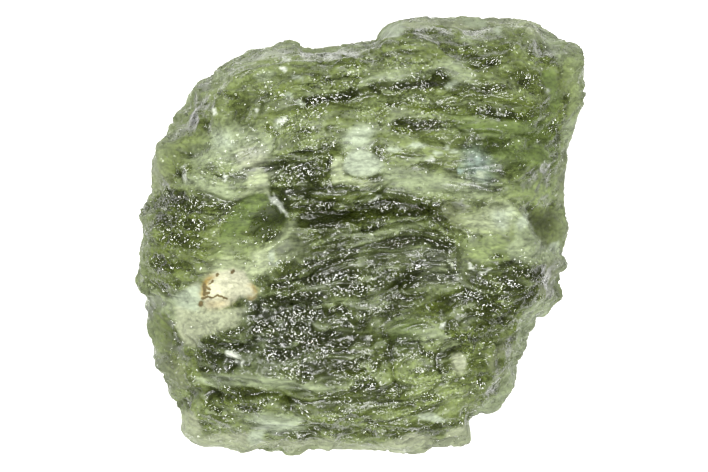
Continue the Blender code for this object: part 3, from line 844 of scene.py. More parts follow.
def etch_terraces(t, flow, given):
    """Height of the terraces, a painted highlight on their lips and painted shade at their feet."""
    sway = t.fractal(t.vector("MULTIPLY", flow, (0.25, 0.6, 0.4)), Detail=2.0, Roughness=0.5)[0]
    fade = t.fractal(t.vector("MULTIPLY", flow, (0.30, 0.5, 0.3)), Detail=1.0)[0]
    steps = t.math("DIVIDE", t.axis(flow, "Y"), given["Terrace Width"])
    share = t.math("FRACT", t.math("ADD", steps, t.math("MULTIPLY", sway, TERRACE_SWAY)))
    terrace = t.math("ADD", t.math("SUBTRACT", 0.5, share), t.step(share, TERRACE_FRONT, 1.0))
    presence = t.step(fade, 0.35, 0.6)
    shelf = t.math("MULTIPLY", t.math("MULTIPLY", terrace, presence), given["Terrace Height"])
    lip_highlight = t.math("ADD", t.step(share, 0.0, 0.10, 1.0, 0.0), t.step(share, 0.93, 1.0))
    foot = t.math("MULTIPLY", t.step(share, 0.6, 0.85), t.step(share, 0.85, 0.93, 1.0, 0.0))
    return shelf, t.math("MULTIPLY", presence, lip_highlight), t.math("MULTIPLY", presence, foot)


def etching_tree():
    """Ridges, cups, terraces and pits, raised along the body's normals."""
    tree = bpy.data.node_groups.new("etching", "GeometryNodeTree")
    t = Tree(tree)
    t.socket("Geometry", "NodeSocketGeometry", "OUTPUT")
    t.socket("Geometry", "NodeSocketGeometry")
    for name, value in ETCH_SIZES.items():
        t.socket(name, "NodeSocketFloat", value=value)
    t.socket("Rest Level", "NodeSocketFloat", value=0.0)
    t.socket("Glass", "NodeSocketMaterial")
    given = t.node("NodeGroupInput").outputs
    flow, calm = (t.node("GeometryNodeInputNamedAttribute", {"Name": name}, data_type=kind).outputs[0]
                  for name, kind in (("flow", "FLOAT_VECTOR"), ("calm", "FLOAT")))
    place = t.node("GeometryNodeInputPosition").outputs[0]
    normal = t.node("GeometryNodeInputNormal").outputs[0]

    ridge, crest = etch_ridges(t, flow, given)
    cup, cup_apart = etch_cups(t, flow, given)
    shelf, lip_highlight, foot = etch_terraces(t, flow, given)
    pit_apart = t.cells(t.vector("DIVIDE", place, t.triple(given["Pit Size"])))["Distance"]
    pit = t.math("MULTIPLY", t.step(pit_apart, 0.1, 0.6), given["Pit Depth"])
    height = t.math("ADD", t.math("ADD", ridge, pit), t.math("ADD", shelf, cup))
    height = t.math("MULTIPLY", height, t.math("SUBTRACT", 1.0, calm))
    moved = t.vector("ADD", place, t.vector("MULTIPLY", normal, t.triple(height)))
    floor_level = given["Rest Level"]
    resting = t.math("SUBTRACT", t.math("MAXIMUM", t.axis(moved, "Z"), floor_level), floor_level)
    final = t.combine(t.axis(moved, "X"), t.axis(moved, "Y"), resting)

    # Painted light: the crest attribute is a painted highlight on ridge crests, cup rims and terrace lips,
    # less painted shade at the terraces' feet.
    cup_rim_highlight = t.step(cup_apart, 0.35, 0.75)
    high = t.math("MAXIMUM", t.math("MULTIPLY", crest, 0.6), t.math("MULTIPLY", cup_rim_highlight, 0.8))
    high = t.math("SUBTRACT", t.math("MAXIMUM", high, lip_highlight), t.math("MULTIPLY", foot, 0.9))
    kept = t.node("GeometryNodeStoreNamedAttribute", {"Geometry": given["Geometry"], "Name": "crest",
                                                      "Value": high}, data_type="FLOAT", domain="POINT")
    geometry = kept.outputs[0]
    for kind, inputs in (("GeometryNodeSetPosition", {"Position": final}),
                         ("GeometryNodeTransform", {"Scale": (MM, MM, MM)}),
                         ("GeometryNodeRealizeInstances", {}),
                         ("GeometryNodeSetMaterial", {"Material": given["Glass"]})):
        geometry = t.node(kind, {"Geometry": geometry, **inputs}).outputs[0]
    t.node("NodeGroupOutput", {"Geometry": geometry})
    return tree


ETCHING = etching_tree()
print("the etching tree has", len(ETCHING.nodes), "nodes")

# %% [markdown]
# ## Where the glass is calm, clear or cloudy
#
# The face isn't the same all over. Veils of bubbles make it milky, a few windows are clear and deep, and a
# grain of cream clay sits in the left pocket. Each of these is a named area: a drawn outline, with a tint,
# a haze, a glitter and the softness of its edge. Later areas lie over earlier ones. Noise bends the
# soft ones, so that none of them has a clean edge, and the crisp ones keep their place.

# %% Tints
TINTS = {
    "deep": (0.036, 0.052, 0.005),
    "bottle": (0.060, 0.080, 0.010),
    "olive": (0.074, 0.098, 0.014),
    "moss": (0.115, 0.148, 0.036),
    "leaf": (0.112, 0.158, 0.036),
    "slate": (0.140, 0.162, 0.072),
    "pond": (0.165, 0.208, 0.066),
    "grey_green": (0.245, 0.292, 0.158),
    "stone": (0.330, 0.360, 0.225),
    "milk": (0.350, 0.405, 0.280),
    "white": (0.560, 0.600, 0.500),
    "yellow": (0.228, 0.290, 0.105),
    "straw": (0.335, 0.385, 0.215),
    "mist": (0.192, 0.226, 0.116),
    "blue": (0.225, 0.300, 0.240),
    "cream": (0.500, 0.505, 0.350),
    "ochre": (0.310, 0.215, 0.048),
    "brown": (0.125, 0.095, 0.032),
}

print(len(TINTS), "tints")

# %% Areas: name, tint, haze, glitter, softness of the edge in mm, corners
AREAS = [
    ("far_left_field", "pond", 0.50, 0.45, 0.4, [(-8.4, 7.0), (-7.1, 8.1), (-5.1, 9.1), (-3.4, 9.5),
        (-2.6, 9.1), (-3.2, 8.2), (-4.6, 7.4), (-6.0, 6.9), (-7.4, 6.4)]),
    ("far_left_slab", "pond", 0.7, 0.4, 0.1, [(-9.8, 5.1), (-9.2, 6.5), (-8.2, 7.0), (-8.2, 6.2), (-8.5,
        5.3), (-9.2, 5.1)]),
    ("left_rim", "slate", 0.65, 0.4, 0.15, [(-10.7, 4.3), (-9.9, 4.5), (-9.6, 3.4), (-9.4, 2.5), (-9.8,
        1.7), (-10.5, 1.2), (-11.1, 0.5), (-11.2, 1.6), (-10.6, 2.3)]),
    ("left_haze", "pond", 0.75, 0.15, 0.25, [(-9.9, 4.2), (-9.2, 5.0), (-7.8, 5.2), (-7.4, 4.3), (-7.7,
        3.5), (-8.2, 3.2), (-9.0, 3.5), (-9.8, 3.2)]),
    ("upper_haze", "grey_green", 0.46, 0.3, 0.25, [(-7.5, 5.1), (-6.2, 5.5), (-4.9, 5.2), (-4.3, 4.7),
        (-4.5, 3.9), (-4.2, 3.0), (-4.4, 2.6), (-4.9, 2.8), (-5.5, 2.5), (-6.0, 2.9), (-6.4, 3.5), (-7.8,
        3.2), (-8.2, 3.8), (-7.7, 4.4)]),
    ("haze_heart", "stone", 0.42, 0.15, 0.2, [(-6.2, 4.3), (-5.4, 4.4), (-4.6, 4.0), (-4.5, 3.0), (-5.2,
        2.8), (-5.8, 3.4)]),
    ("haze_white", "milk", 0.6, 0.4, 0.2, [(-7.2, 4.9), (-6.6, 5.0), (-6.3, 4.4), (-6.8, 4.2), (-7.3,
        4.4)]),
    ("low_haze", "grey_green", 0.62, 0.3, 0.2, [(-9.2, 2.6), (-8.2, 3.0), (-6.8, 2.8), (-6.0, 2.8), (-5.6,
        2.4), (-6.2, 1.8), (-7.2, 1.9), (-8.2, 2.3)]),
    ("yellow_fan", "straw", 0.70, 0.1, 0.12, [(-5.8, 1.9), (-5.5, 2.4), (-5.5, 3.1), (-5.2, 3.3), (-4.8,
        3.3), (-4.45, 3.0), (-4.4, 2.3), (-4.4, 1.9), (-4.8, 2.0)]),
    ("scoop", "leaf", 0.80, 0.25, 0.08, [(-6.9, -0.3), (-6.7, 0.55), (-6.2, 1.4), (-5.7, 1.9), (-5.2,
        2.1), (-4.7, 2.1), (-4.3, 1.8), (-3.9, 1.4), (-3.55, 0.85), (-3.9, 0.45), (-4.4, 0.05), (-4.9,
        -0.2), (-5.5, -0.2), (-6.1, -0.1), (-6.6, -0.4)]),
    ("scoop_floor", "bottle", 0.85, 0.12, 0.12, [(-5.9, 0.1), (-5.3, 0.5), (-4.6, 0.6), (-4.2, 0.3),
        (-4.7, -0.1), (-5.5, -0.15)]),
    ("scoop_deep", "deep", 0.82, 0.45, 0.10, [(-5.0, 1.35), (-4.4, 1.65), (-3.9, 1.25), (-3.5, 0.85),
        (-3.9, 0.45), (-4.4, 0.1), (-5.0, -0.05), (-5.5, 0.2), (-5.3, 0.8)]),
    ("scoop_wall", "white", 0.62, 0.3, 0.05, [(-4.5, 1.95), (-4.3, 1.9), (-4.2, 2.05), (-4.0, 1.75),
        (-3.75, 1.6), (-3.7, 1.3), (-3.5, 1.15), (-3.5, 0.9), (-3.75, 1.15), (-4.0, 1.3), (-4.1, 1.5),
        (-4.4, 1.6)]),
    ("yellow_shelf", "yellow", 0.85, 0.08, 0.2, [(-7.1, -0.3), (-6.0, -0.1), (-5.1, -0.3), (-4.8, -0.8),
        (-5.5, -1.1), (-6.2, -0.9), (-6.9, -1.1), (-7.5, -1.0)]),
    ("cream_shelf", "straw", 0.85, 0.15, 0.2, [(-5.3, -0.8), (-4.4, -0.3), (-3.6, -0.7), (-3.8, -1.2),
        (-4.6, -1.9), (-5.3, -2.0), (-5.7, -1.5)]),
    ("smooth_facet", "mist", 0.72, 0.05, 0.10, [(-3.6, 0.7), (-3.1, 0.7), (-2.7, 0.2), (-2.4, -0.4),
        (-2.3, -1.0), (-3.0, -1.3), (-3.9, -1.2), (-4.3, -0.7), (-4.1, -0.1)]),
    ("grain_bed", "straw", 0.7, 0.1, 0.25, [(-7.7, -1.7), (-6.7, -1.1), (-5.8, -1.3), (-5.2, -1.9), (-4.9,
        -2.7), (-5.1, -3.3), (-5.8, -3.1), (-6.5, -2.2), (-7.7, -2.4)]),
    ("big_shelf", "stone", 0.85, 0.08, 0.12, [(-9.2, -3.7), (-8.9, -2.8), (-8.0, -2.2), (-7.7, -2.5),
        (-7.7, -3.2), (-7.0, -3.6), (-6.0, -3.5), (-5.5, -3.5), (-5.5, -4.1), (-6.0, -4.5), (-6.8, -4.7),
        (-7.7, -5.0), (-8.2, -5.5), (-8.7, -5.3), (-9.1, -4.5)]),
    ("shelf_white", "milk", 0.85, 0.04, 0.12, [(-9.6, -3.2), (-9.1, -2.85), (-8.6, -2.6), (-7.85, -2.3),
        (-7.8, -3.3), (-8.0, -3.7), (-9.3, -3.4)]),
    ("shelf_end", "grey_green", 0.65, 0.3, 0.2, [(-5.6, -3.2), (-4.9, -2.8), (-4.5, -3.2), (-5.1, -3.4),
        (-5.2, -4.2), (-5.7, -4.8), (-6.4, -4.7), (-5.8, -4.1)]),
    ("shelf_left", "grey_green", 0.6, 0.15, 0.15, [(-10.6, -3.1), (-9.9, -2.8), (-9.1, -3.2), (-9.2,
        -4.2), (-9.5, -4.0), (-10.1, -3.5)]),
    ("left_facet", "moss", 0.6, 0.08, 0.12, [(-10.7, -3.9), (-9.6, -3.8), (-9.3, -4.4), (-9.1, -5.3),
        (-8.6, -5.8), (-9.5, -5.8), (-10.1, -5.5), (-10.5, -4.9)]),
    ("near_left_facet", "slate", 0.5, 0.35, 0.15, [(-10.3, -5.6), (-9.0, -5.8), (-8.3, -6.4), (-8.5,
        -7.3), (-8.9, -8.2), (-9.6, -7.5), (-10.1, -6.5)]),
    ("bubble", "milk", 0.97, 0.06, 0.1, [(-0.8, 3.6), (-0.5, 4.1), (0.1, 4.2), (0.7, 4.0), (1.2, 3.5),
        (1.1, 3.1), (0.5, 2.9), (-0.3, 2.9), (-0.8, 3.1)]),
    ("over_bubble", "milk", 0.65, 0.3, 0.2, [(-0.9, 4.7), (-0.3, 5.2), (0.6, 5.3), (1.1, 5.0), (0.8, 4.5),
        (0.1, 4.2), (-0.7, 4.3)]),
    ("beside_bubble", "straw", 0.8, 0.15, 0.12, [(-1.4, 3.8), (-0.9, 3.9), (-0.8, 3.0), (-0.3, 2.8), (0.6,
        2.7), (1.0, 2.6), (0.5, 2.4), (-0.7, 2.5), (-1.4, 2.5)]),
    ("hazy_band", "grey_green", 0.78, 0.1, 0.2, [(1.2, 3.4), (2.0, 3.4), (3.2, 3.2), (4.1, 3.0), (4.6,
        2.5), (4.0, 2.0), (2.8, 1.9), (1.6, 2.0), (1.0, 2.3), (1.0, 2.9)]),
    ("band_end", "grey_green", 0.5, 0.3, 0.3, [(4.1, 3.0), (5.5, 2.7), (6.6, 2.5), (7.0, 2.0), (6.0, 1.7),
        (4.8, 1.8), (4.3, 2.2)]),
    ("flecked_band", "pond", 0.45, 0.2, 0.3, [(1.3, 4.4), (2.5, 4.8), (4.0, 4.8), (5.0, 4.5), (5.0, 3.5),
        (4.0, 3.2), (2.5, 3.4), (1.3, 3.4)]),
    ("blue_cloud", "blue", 0.48, 0.35, 0.3, [(5.0, 4.1), (5.9, 4.3), (6.4, 3.7), (6.4, 2.9), (5.9, 2.6),
        (5.3, 3.0), (5.0, 3.5)]),
    ("striped_green", "leaf", 0.50, 0.4, 0.3, [(6.4, 4.8), (8.0, 4.9), (9.6, 4.7), (9.7, 3.3), (8.0, 3.2),
        (6.5, 3.2)]),
    ("right_yellow", "yellow", 0.6, 0.2, 0.3, [(6.8, 2.6), (8.0, 3.0), (9.5, 2.9), (9.7, 2.0), (9.1, 1.5),
        (7.8, 1.4), (7.2, 1.9)]),
    ("grey_rings", "slate", 0.75, 0.08, 0.15, [(4.0, 1.6), (4.6, 1.6), (5.2, 1.1), (5.0, 0.4), (4.5, 0.2),
        (4.2, 0.8)]),
    ("pan", "straw", 0.72, 0.2, 0.2, [(5.0, 0.8), (5.6, 1.2), (6.5, 1.6), (7.4, 1.6), (7.8, 1.1), (7.6,
        0.5), (6.9, 0.2), (6.0, 0.2), (5.2, 0.3)]),
    ("pan_white", "milk", 0.95, 0.06, 0.15, [(6.6, 1.3), (7.4, 1.4), (7.6, 0.9), (7.1, 0.3), (6.5, 0.6)]),
    ("pan_foot", "yellow", 0.7, 0.12, 0.2, [(4.7, -0.1), (6.0, 0.2), (7.0, 0.1), (7.4, -0.4), (7.1, -1.0),
        (6.3, -1.3), (5.5, -1.2), (4.8, -0.9)]),
    ("right_grey", "grey_green", 0.82, 0.30, 0.12, [(7.4, 0.6), (8.0, 1.3), (8.3, 0.9), (8.6, 0.2), (9.0,
        -0.4), (10.0, -0.3), (10.1, -1.0), (9.4, -1.3), (8.4, -1.4), (7.4, -1.2), (7.1, -0.6), (7.6,
        -0.1)]),
    ("right_window", "moss", 0.88, 0.02, 0.08, [(8.2, 1.0), (8.6, 1.4), (9.4, 1.4), (10.1, 1.2), (10.5,
        0.4), (10.1, -0.3), (9.3, -0.5), (8.9, -0.3), (8.6, 0.2)]),
    ("window_deep", "bottle", 0.86, 0.05, 0.15, [(8.2, 1.1), (9.0, 1.2), (10.1, 1.1), (10.2, 0.5), (9.2,
        0.4), (8.6, 0.5)]),
    ("right_corner", "slate", 0.6, 0.15, 0.15, [(9.2, -1.3), (10.2, -1.1), (10.3, -1.8), (9.8, -3.2),
        (9.0, -3.2), (8.8, -2.2)]),
    ("right_strip", "slate", 0.65, 0.35, 0.1, [(9.8, 3.8), (10.5, 4.4), (10.4, 3.0), (10.3, 1.5), (9.8,
        1.5)]),
    ("strip_top", "grey_green", 0.7, 0.35, 0.1, [(10.0, 5.7), (10.8, 6.0), (10.8, 5.0), (10.3, 4.3), (9.9,
        4.8)]),
    ("far_right_strip", "pond", 0.65, 0.40, 0.12, [(10.0, 8.5), (10.5, 9.6), (11.1, 9.4), (11.4, 7.0),
        (11.1, 6.2), (10.7, 5.7), (10.1, 5.7), (10.3, 6.8), (9.9, 7.6)]),
    ("far_right_window", "leaf", 0.8, 0.08, 0.12, [(8.9, 8.0), (9.5, 8.2), (9.7, 7.3), (9.9, 6.6), (9.6,
        6.0), (9.2, 6.2), (9.3, 7.0), (8.9, 7.5)]),
    ("far_tip", "milk", 0.75, 0.05, 0.1, [(0.9, 9.9), (1.4, 10.5), (2.1, 10.6), (2.2, 10.1), (1.9, 9.7),
        (1.1, 9.7)]),
    ("far_rim", "stone", 0.85, 0.35, 0.15, [(2.1, 10.5), (3.5, 10.9), (5.5, 11.1), (7.0, 11.0), (8.6,
        10.8), (9.4, 10.1), (8.8, 9.9), (7.8, 10.3), (6.4, 10.4), (5.5, 10.2), (4.0, 10.4), (2.5, 10.2)]),
    ("rim_white", "milk", 0.8, 0.08, 0.12, [(5.0, 10.8), (5.8, 10.9), (6.3, 10.8), (6.2, 10.3), (5.3,
        10.4)]),
    ("far_corner", "grey_green", 0.55, 0.25, 0.15, [(9.0, 10.4), (10.0, 9.8), (10.6, 9.6), (10.2, 8.8),
        (9.8, 8.4), (9.3, 9.3)]),
    ("far_hill", "grey_green", 0.6, 0.15, 0.15, [(0.0, 7.3), (0.6, 8.0), (2.0, 8.3), (3.0, 8.0), (2.2,
        7.6), (1.0, 7.6)]),
    ("far_hill_right", "grey_green", 0.6, 0.15, 0.15, [(3.2, 7.9), (4.0, 8.4), (4.8, 8.6), (5.5, 8.1),
        (5.4, 7.3), (4.7, 7.5), (4.3, 8.0)]),
    ("recess", "olive", 0.4, 0.7, 0.12, [(3.3, 7.5), (3.7, 8.1), (4.0, 8.2), (4.6, 7.5), (4.5, 6.9), (3.9,
        7.2)]),
    ("recess_right", "olive", 0.35, 0.7, 0.15, [(5.2, 8.3), (5.6, 8.7), (6.8, 8.5), (6.4, 8.1), (5.5,
        8.0)]),
    ("long_dark", "olive", 0.34, 0.9, 0.2, [(-3.0, 6.6), (-2.1, 7.0), (0.0, 7.1), (0.8, 6.8), (-0.5, 6.4),
        (-2.1, 6.2), (-3.0, 6.3)]),
    ("dark_row", "olive", 0.36, 0.9, 0.2, [(1.0, 6.5), (3.0, 6.6), (5.5, 6.5), (9.0, 6.6), (9.2, 5.9),
        (7.0, 5.9), (4.0, 6.0), (1.6, 6.1)]),
    ("lens_pit", "olive", 0.34, 0.8, 0.15, [(1.4, 5.6), (2.2, 5.9), (3.5, 5.9), (4.1, 5.6), (3.8, 5.2),
        (2.5, 5.1), (1.7, 5.2)]),
    ("green_right", "leaf", 0.50, 0.3, 0.3, [(4.0, 5.9), (7.0, 5.8), (9.5, 5.7), (9.6, 4.9), (7.0, 4.8),
        (4.3, 5.1)]),
    ("middle_field", "bottle", 0.22, 0.60, 0.6, [(-2.9, 1.9), (0.0, 2.3), (3.0, 1.6), (4.6, 0.2), (4.6,
        -3.5), (1.0, -4.2), (0.4, -7.6), (-5.0, -7.4), (-7.4, -6.2), (-5.2, -3.8), (-3.6, -2.0), (-2.4,
        -0.6)]),
    ("dark_band", "olive", 0.26, 0.9, 0.25, [(-3.0, 1.6), (-1.5, 2.0), (0.6, 1.6), (2.0, 1.6), (3.8, 1.5),
        (4.2, 0.7), (3.0, 0.6), (1.3, 0.4), (-1.0, 0.2), (-2.7, 0.4)]),
    ("band_two", "olive", 0.28, 0.9, 0.25, [(0.9, 0.0), (2.5, 0.2), (4.3, 0.0), (4.6, -0.7), (3.0, -0.5),
        (1.2, -0.8)]),
    ("left_mid", "moss", 0.56, 1.0, 0.3, [(-10.5, 1.6), (-7.2, 1.8), (-6.9, 0.6), (-7.2, -0.9), (-8.0,
        -1.7), (-10.0, -1.9), (-10.7, -0.9)]),
    ("middle_haze", "mist", 0.26, 0.6, 0.5, [(1.8, -0.1), (3.5, -0.5), (4.8, -1.3), (4.5, -2.7), (3.2,
        -3.0), (2.8, -1.3), (1.8, -0.8)]),
    ("near_left_dark", "deep", 0.16, 0.8, 0.4, [(-5.1, -3.4), (-3.0, -3.2), (-2.1, -3.8), (-1.9, -5.2),
        (-3.0, -6.8), (-4.9, -6.8), (-7.4, -6.5), (-7.6, -5.2), (-6.0, -4.9), (-5.3, -4.3)]),
    ("near_right_field", "moss", 0.44, 0.90, 0.4, [(4.6, -3.9), (6.5, -3.9), (8.3, -4.6), (7.7, -6.2),
        (7.2, -8.2), (6.0, -8.9), (4.5, -8.4), (3.8, -6.7), (4.2, -5.0)]),
    ("curl_field", "olive", 0.34, 0.95, 0.3, [(2.2, -2.9), (3.6, -2.4), (5.0, -2.2), (6.6, -2.6), (8.3,
        -3.4), (7.6, -4.6), (6.2, -4.9), (5.2, -4.4), (4.3, -4.4), (3.0, -4.0), (2.0, -3.8)]),
    ("green_window", "leaf", 0.42, 0.15, 0.25, [(1.2, -5.1), (1.6, -4.1), (2.5, -4.2), (2.6, -5.2), (2.4,
        -5.8), (1.6, -5.8)]),
    ("basin_pale", "grey_green", 0.55, 0.3, 0.25, [(2.4, -4.7), (3.2, -4.3), (4.0, -4.5), (3.9, -5.1),
        (3.2, -5.0), (2.7, -5.5)]),
    ("oval_ring", "olive", 0.34, 0.5, 0.12, [(4.0, -5.3), (4.6, -5.0), (5.2, -5.1), (4.8, -5.5), (4.4,
        -5.9), (4.4, -6.7), (4.9, -7.1), (4.2, -7.1), (3.7, -6.5), (3.7, -5.8)]),
    ("oval", "stone", 0.68, 0.08, 0.12, [(4.5, -5.8), (4.9, -5.7), (5.2, -5.9), (5.2, -6.5), (4.9, -6.9),
        (4.5, -6.6)]),
    ("near_pale", "pond", 0.55, 0.70, 0.35, [(1.8, -5.8), (2.9, -5.5), (3.5, -6.5), (4.4, -6.8), (5.3,
        -7.0), (5.5, -8.1), (4.4, -8.4), (3.2, -8.2), (2.2, -7.2)]),
    ("near_right_strip", "grey_green", 0.75, 0.40, 0.1, [(8.5, -3.2), (9.4, -3.1), (9.8, -3.4), (8.9,
        -4.3), (8.4, -5.2), (8.2, -6.2), (7.7, -7.6), (7.3, -8.3), (6.6, -8.9), (5.6, -9.1), (5.9, -8.4),
        (6.8, -7.8), (7.2, -6.7), (7.7, -5.5), (7.8, -4.2)]),
    ("near_right_inner", "slate", 0.65, 0.35, 0.1, [(6.7, -5.5), (7.1, -5.1), (7.2, -5.8), (6.8, -6.9),
        (6.3, -6.5)]),
    ("near_right_dark", "moss", 0.3, 0.25, 0.15, [(7.0, -5.8), (7.6, -5.5), (7.3, -6.7), (6.8, -7.6),
        (6.2, -8.0), (6.0, -7.4), (6.7, -6.9)]),
    ("near_rim", "stone", 0.8, 0.35, 0.12, [(-8.7, -10.2), (-7.2, -9.8), (-5.5, -9.7), (-4.9, -10.1),
        (-3.0, -10.1), (-1.5, -10.0), (-0.8, -10.2), (1.0, -10.3), (2.0, -9.9), (2.6, -9.7), (3.5, -9.9),
        (3.7, -10.3), (4.3, -10.0), (5.7, -9.8), (5.8, -10.6), (4.0, -10.9), (3.0, -11.2), (-3.0, -11.2),
        (-5.5, -11.0), (-8.0, -10.8)]),
    ("near_left_lobe", "stone", 0.7, 0.35, 0.1, [(-9.2, -8.6), (-8.2, -8.7), (-7.8, -9.4), (-8.0, -10.2),
        (-8.8, -10.3), (-9.3, -9.4)]),
    ("near_dark", "olive", 0.3, 0.6, 0.2, [(-8.3, -7.6), (-7.0, -7.4), (-5.5, -7.5), (-3.0, -7.9), (-2.2,
        -8.4), (-4.0, -8.3), (-6.0, -8.1), (-8.2, -8.2)]),
    ("near_left_band", "grey_green", 0.5, 0.12, 0.12, [(-8.2, -7.0), (-7.2, -6.8), (-5.5, -6.8), (-3.8,
        -7.0), (-1.9, -7.3), (-1.1, -7.6), (-3.0, -7.6), (-5.8, -7.3), (-7.2, -7.5)]),
    ("white_block", "milk", 0.72, 0.10, 0.22, [(-5.7, -8.9), (-4.9, -8.8), (-3.0, -9.0), (-3.1, -9.4),
        (-4.0, -9.6), (-4.8, -9.5), (-5.3, -9.2)]),
    ("block_foot", "milk", 0.7, 0.08, 0.12, [(-5.4, -9.6), (-4.8, -9.6), (-4.8, -10.1), (-5.3, -10.4),
        (-5.6, -10.1)]),
    ("lip_streak", "milk", 0.8, 0.08, 0.08, [(2.8, -8.8), (3.6, -8.7), (4.3, -9.1), (3.8, -9.2), (3.0,
        -9.0)]),
    ("near_corner", "stone", 0.65, 0.35, 0.1, [(4.2, -9.7), (5.5, -9.2), (5.8, -10.1), (5.1, -10.6), (4.2,
        -10.2)]),
]

print(len(AREAS), "areas")

# %% Flecks and the grain
# Small bright flecks: centre, half-lengths, turn, tint
FLECKS = [
    ((1.85, 4.15), (0.28, 0.12), 0, "milk"), ((2.55, 4.5), (0.30, 0.14), 5, "milk"),
    ((3.3, 3.7), (0.18, 0.14), 0, "white"), ((4.05, 4.4), (0.18, 0.16), 0, "milk"),
    ((4.4, 4.1), (0.32, 0.16), 0, "milk"), ((2.8, 3.65), (0.60, 0.11), 15, "grey_green"),
    ((3.6, 4.05), (0.18, 0.16), 0, "milk"), ((5.75, 3.7), (0.22, 0.20), 0, "blue"),
    ((5.95, 3.0), (0.22, 0.20), 0, "milk"), ((4.9, 3.15), (0.20, 0.14), 0, "blue"),
    ((-4.35, -0.95), (0.20, 0.42), -10, "milk"), ((-3.9, 5.75), (0.38, 0.14), 20, "white"),
    ((-4.1, 5.45), (0.20, 0.12), 40, "milk"), ((-3.6, 6.9), (0.22, 0.12), 30, "milk"),
    ((-2.95, 6.6), (0.35, 0.14), -10, "milk"), ((-3.1, 7.8), (0.32, 0.12), -10, "milk"),
    ((-3.7, 8.2), (0.28, 0.08), 0, "white"), ((-3.6, 8.75), (0.12, 0.12), 0, "white"),
    ((-3.3, 8.75), (0.10, 0.10), 0, "white"), ((-5.1, 6.15), (0.14, 0.12), 45, "white"),
    ((-7.05, 6.0), (0.10, 0.28), 20, "white"), ((-6.85, 7.9), (0.40, 0.20), 0, "grey_green"),
    ((-4.8, 7.8), (0.60, 0.25), 20, "grey_green"), ((0.7, 2.65), (0.22, 0.08), 0, "white"),
    ((0.9, 1.75), (0.36, 0.05), 28, "white"), ((-6.5, 2.9), (0.20, 0.12), 60, "white"),
    ((-8.6, 3.35), (0.32, 0.07), 12, "white"), ((-8.65, 2.95), (0.14, 0.22), -20, "white"),
    ((-6.35, -5.75), (0.45, 0.16), -25, "white"), ((-5.9, -6.2), (0.16, 0.14), 0, "white"),
    ((-5.2, -4.95), (0.16, 0.06), 20, "white"), ((-4.3, -0.85), (0.12, 0.30), -20, "milk"),
    ((-4.0, -1.3), (0.30, 0.10), 20, "milk"), ((5.3, -1.5), (0.12, 0.30), 28, "white"),
    ((6.05, -1.75), (0.42, 0.13), 38, "white"), ((4.35, -1.35), (0.30, 0.11), -42, "white"),
    ((9.4, -0.5), (0.40, 0.22), 20, "milk"), ((8.05, 0.75), (0.25, 0.45), 20, "milk"),
    ((3.95, -4.3), (0.18, 0.16), 0, "white"), ((4.55, 7.4), (0.25, 0.20), 0, "milk"),
    ((5.4, 9.7), (0.30, 0.20), 0, "grey_green"), ((6.9, 10.1), (0.30, 0.25), 0, "milk"),
    ((-1.1, 9.3), (0.22, 0.08), 0, "white"), ((8.95, 7.05), (0.16, 0.08), 0, "white"),
    ((-2.0, 10.4), (0.5, 0.2), 0, "milk"),
]

GRAIN = [
    (-7.15, -1.8), (-6.75, -1.68), (-6.2, -1.63), (-5.67, -1.73), (-5.5, -2.0), (-5.25, -2.4),
    (-5.1, -2.75), (-5.3, -3.0), (-5.8, -2.97), (-6.1, -3.15), (-6.55, -3.48), (-7.1, -3.55),
    (-7.6, -3.5), (-7.78, -3.1), (-7.78, -2.5), (-7.6, -2.2),
]
# The grain's ochre rim: strength, half-width, path
GRAIN_RIMS = [
    (1.0, 0.16, [(-7.05, -1.85), (-7.5, -2.2), (-7.7, -2.7), (-7.65, -3.2)]),
    (0.8, 0.10, [(-5.6, -2.5), (-5.4, -2.4), (-5.2, -2.5), (-5.1, -2.8), (-5.3, -3.05), (-5.6, -2.9),
        (-5.65, -2.65)]),
    (0.45, 0.24, [(-7.7, -3.3), (-7.0, -3.35), (-6.4, -3.2)]),
]
# Dark marks of the grain: two ends and a half-width
GRAIN_MARKS = [
    ((-6.26, -1.77), (-6.20, -1.72), 0.11), ((-7.02, -1.93), (-6.95, -1.87), 0.08),
    ((-7.84, -3.36), (-7.80, -3.28), 0.13), ((-7.64, -2.38), (-7.62, -2.85), 0.11),
    ((-7.55, -2.50), (-7.40, -2.60), 0.09), ((-7.38, -2.36), (-7.22, -2.20), 0.05),
    ((-7.62, -2.85), (-7.40, -2.78), 0.08), ((-7.75, -3.07), (-7.48, -2.97), 0.07),
    ((-7.48, -2.97), (-7.22, -3.02), 0.05), ((-7.22, -3.02), (-7.00, -2.91), 0.045),
    ((-7.00, -2.91), (-6.79, -2.97), 0.05), ((-6.79, -2.97), (-6.54, -3.07), 0.06),
]
print(len(FLECKS), "flecks and", len(GRAIN_MARKS), "marks on the grain")

# %% [markdown]
# ## Working the patches out
#
# The masks are worked out on the mesh's own points and kept as attributes, which the render reads. The haze
# is how milky a point is. The tint is the colour of what hangs in the glass there. Calm is where the etching
# left the glass smooth, glitter is where it is roughest, and stir is how uneven the haze may be. The rim is
# painted paler, for the light that comes through its thin edges, the crests get a painted highlight and the
# grooves painted shade. The glint bands are rough clear glass, and they go over all of it.

# %% Shapes of the masks
CRISP = 0.12  # areas with an edge up to this soft keep their place and are hardly bent
STRETCH = 2.5  # how much longer along the flow the bending is
ABOVE_WIDEST = (-0.1, 0.6)  # mm over the widest line where the drawn areas begin and are full
RIM_BAND = (0.90, 0.99)  # share of the way out
GLINT_PATCH = (1.8, 0.7, 1.2)  # mm along the flow, across it and down
GLINT_NOISE = (0.05, 0.30)


def bent(points, amount, width, start):
    """The points' x and y, pushed about by noise that is drawn out along the flow."""
    along, across, down = layer_coordinates(points)
    grid = np.stack([along / (STRETCH * width), across / width, down / (STRETCH * width)], 1)
    push_x = perlin(grid + start)
    push_y = perlin(grid + start + 40.0)
    return points[:, 0] + STRETCH * amount * push_x, points[:, 1] + amount * push_y


def seen_from_above(points):
    """1 above the stone's widest line, 0 below it."""
    angle = np.arctan2(points[:, 1], points[:, 0])
    return smoothstep(*ABOVE_WIDEST, points[:, 2] - widest_level(angle))


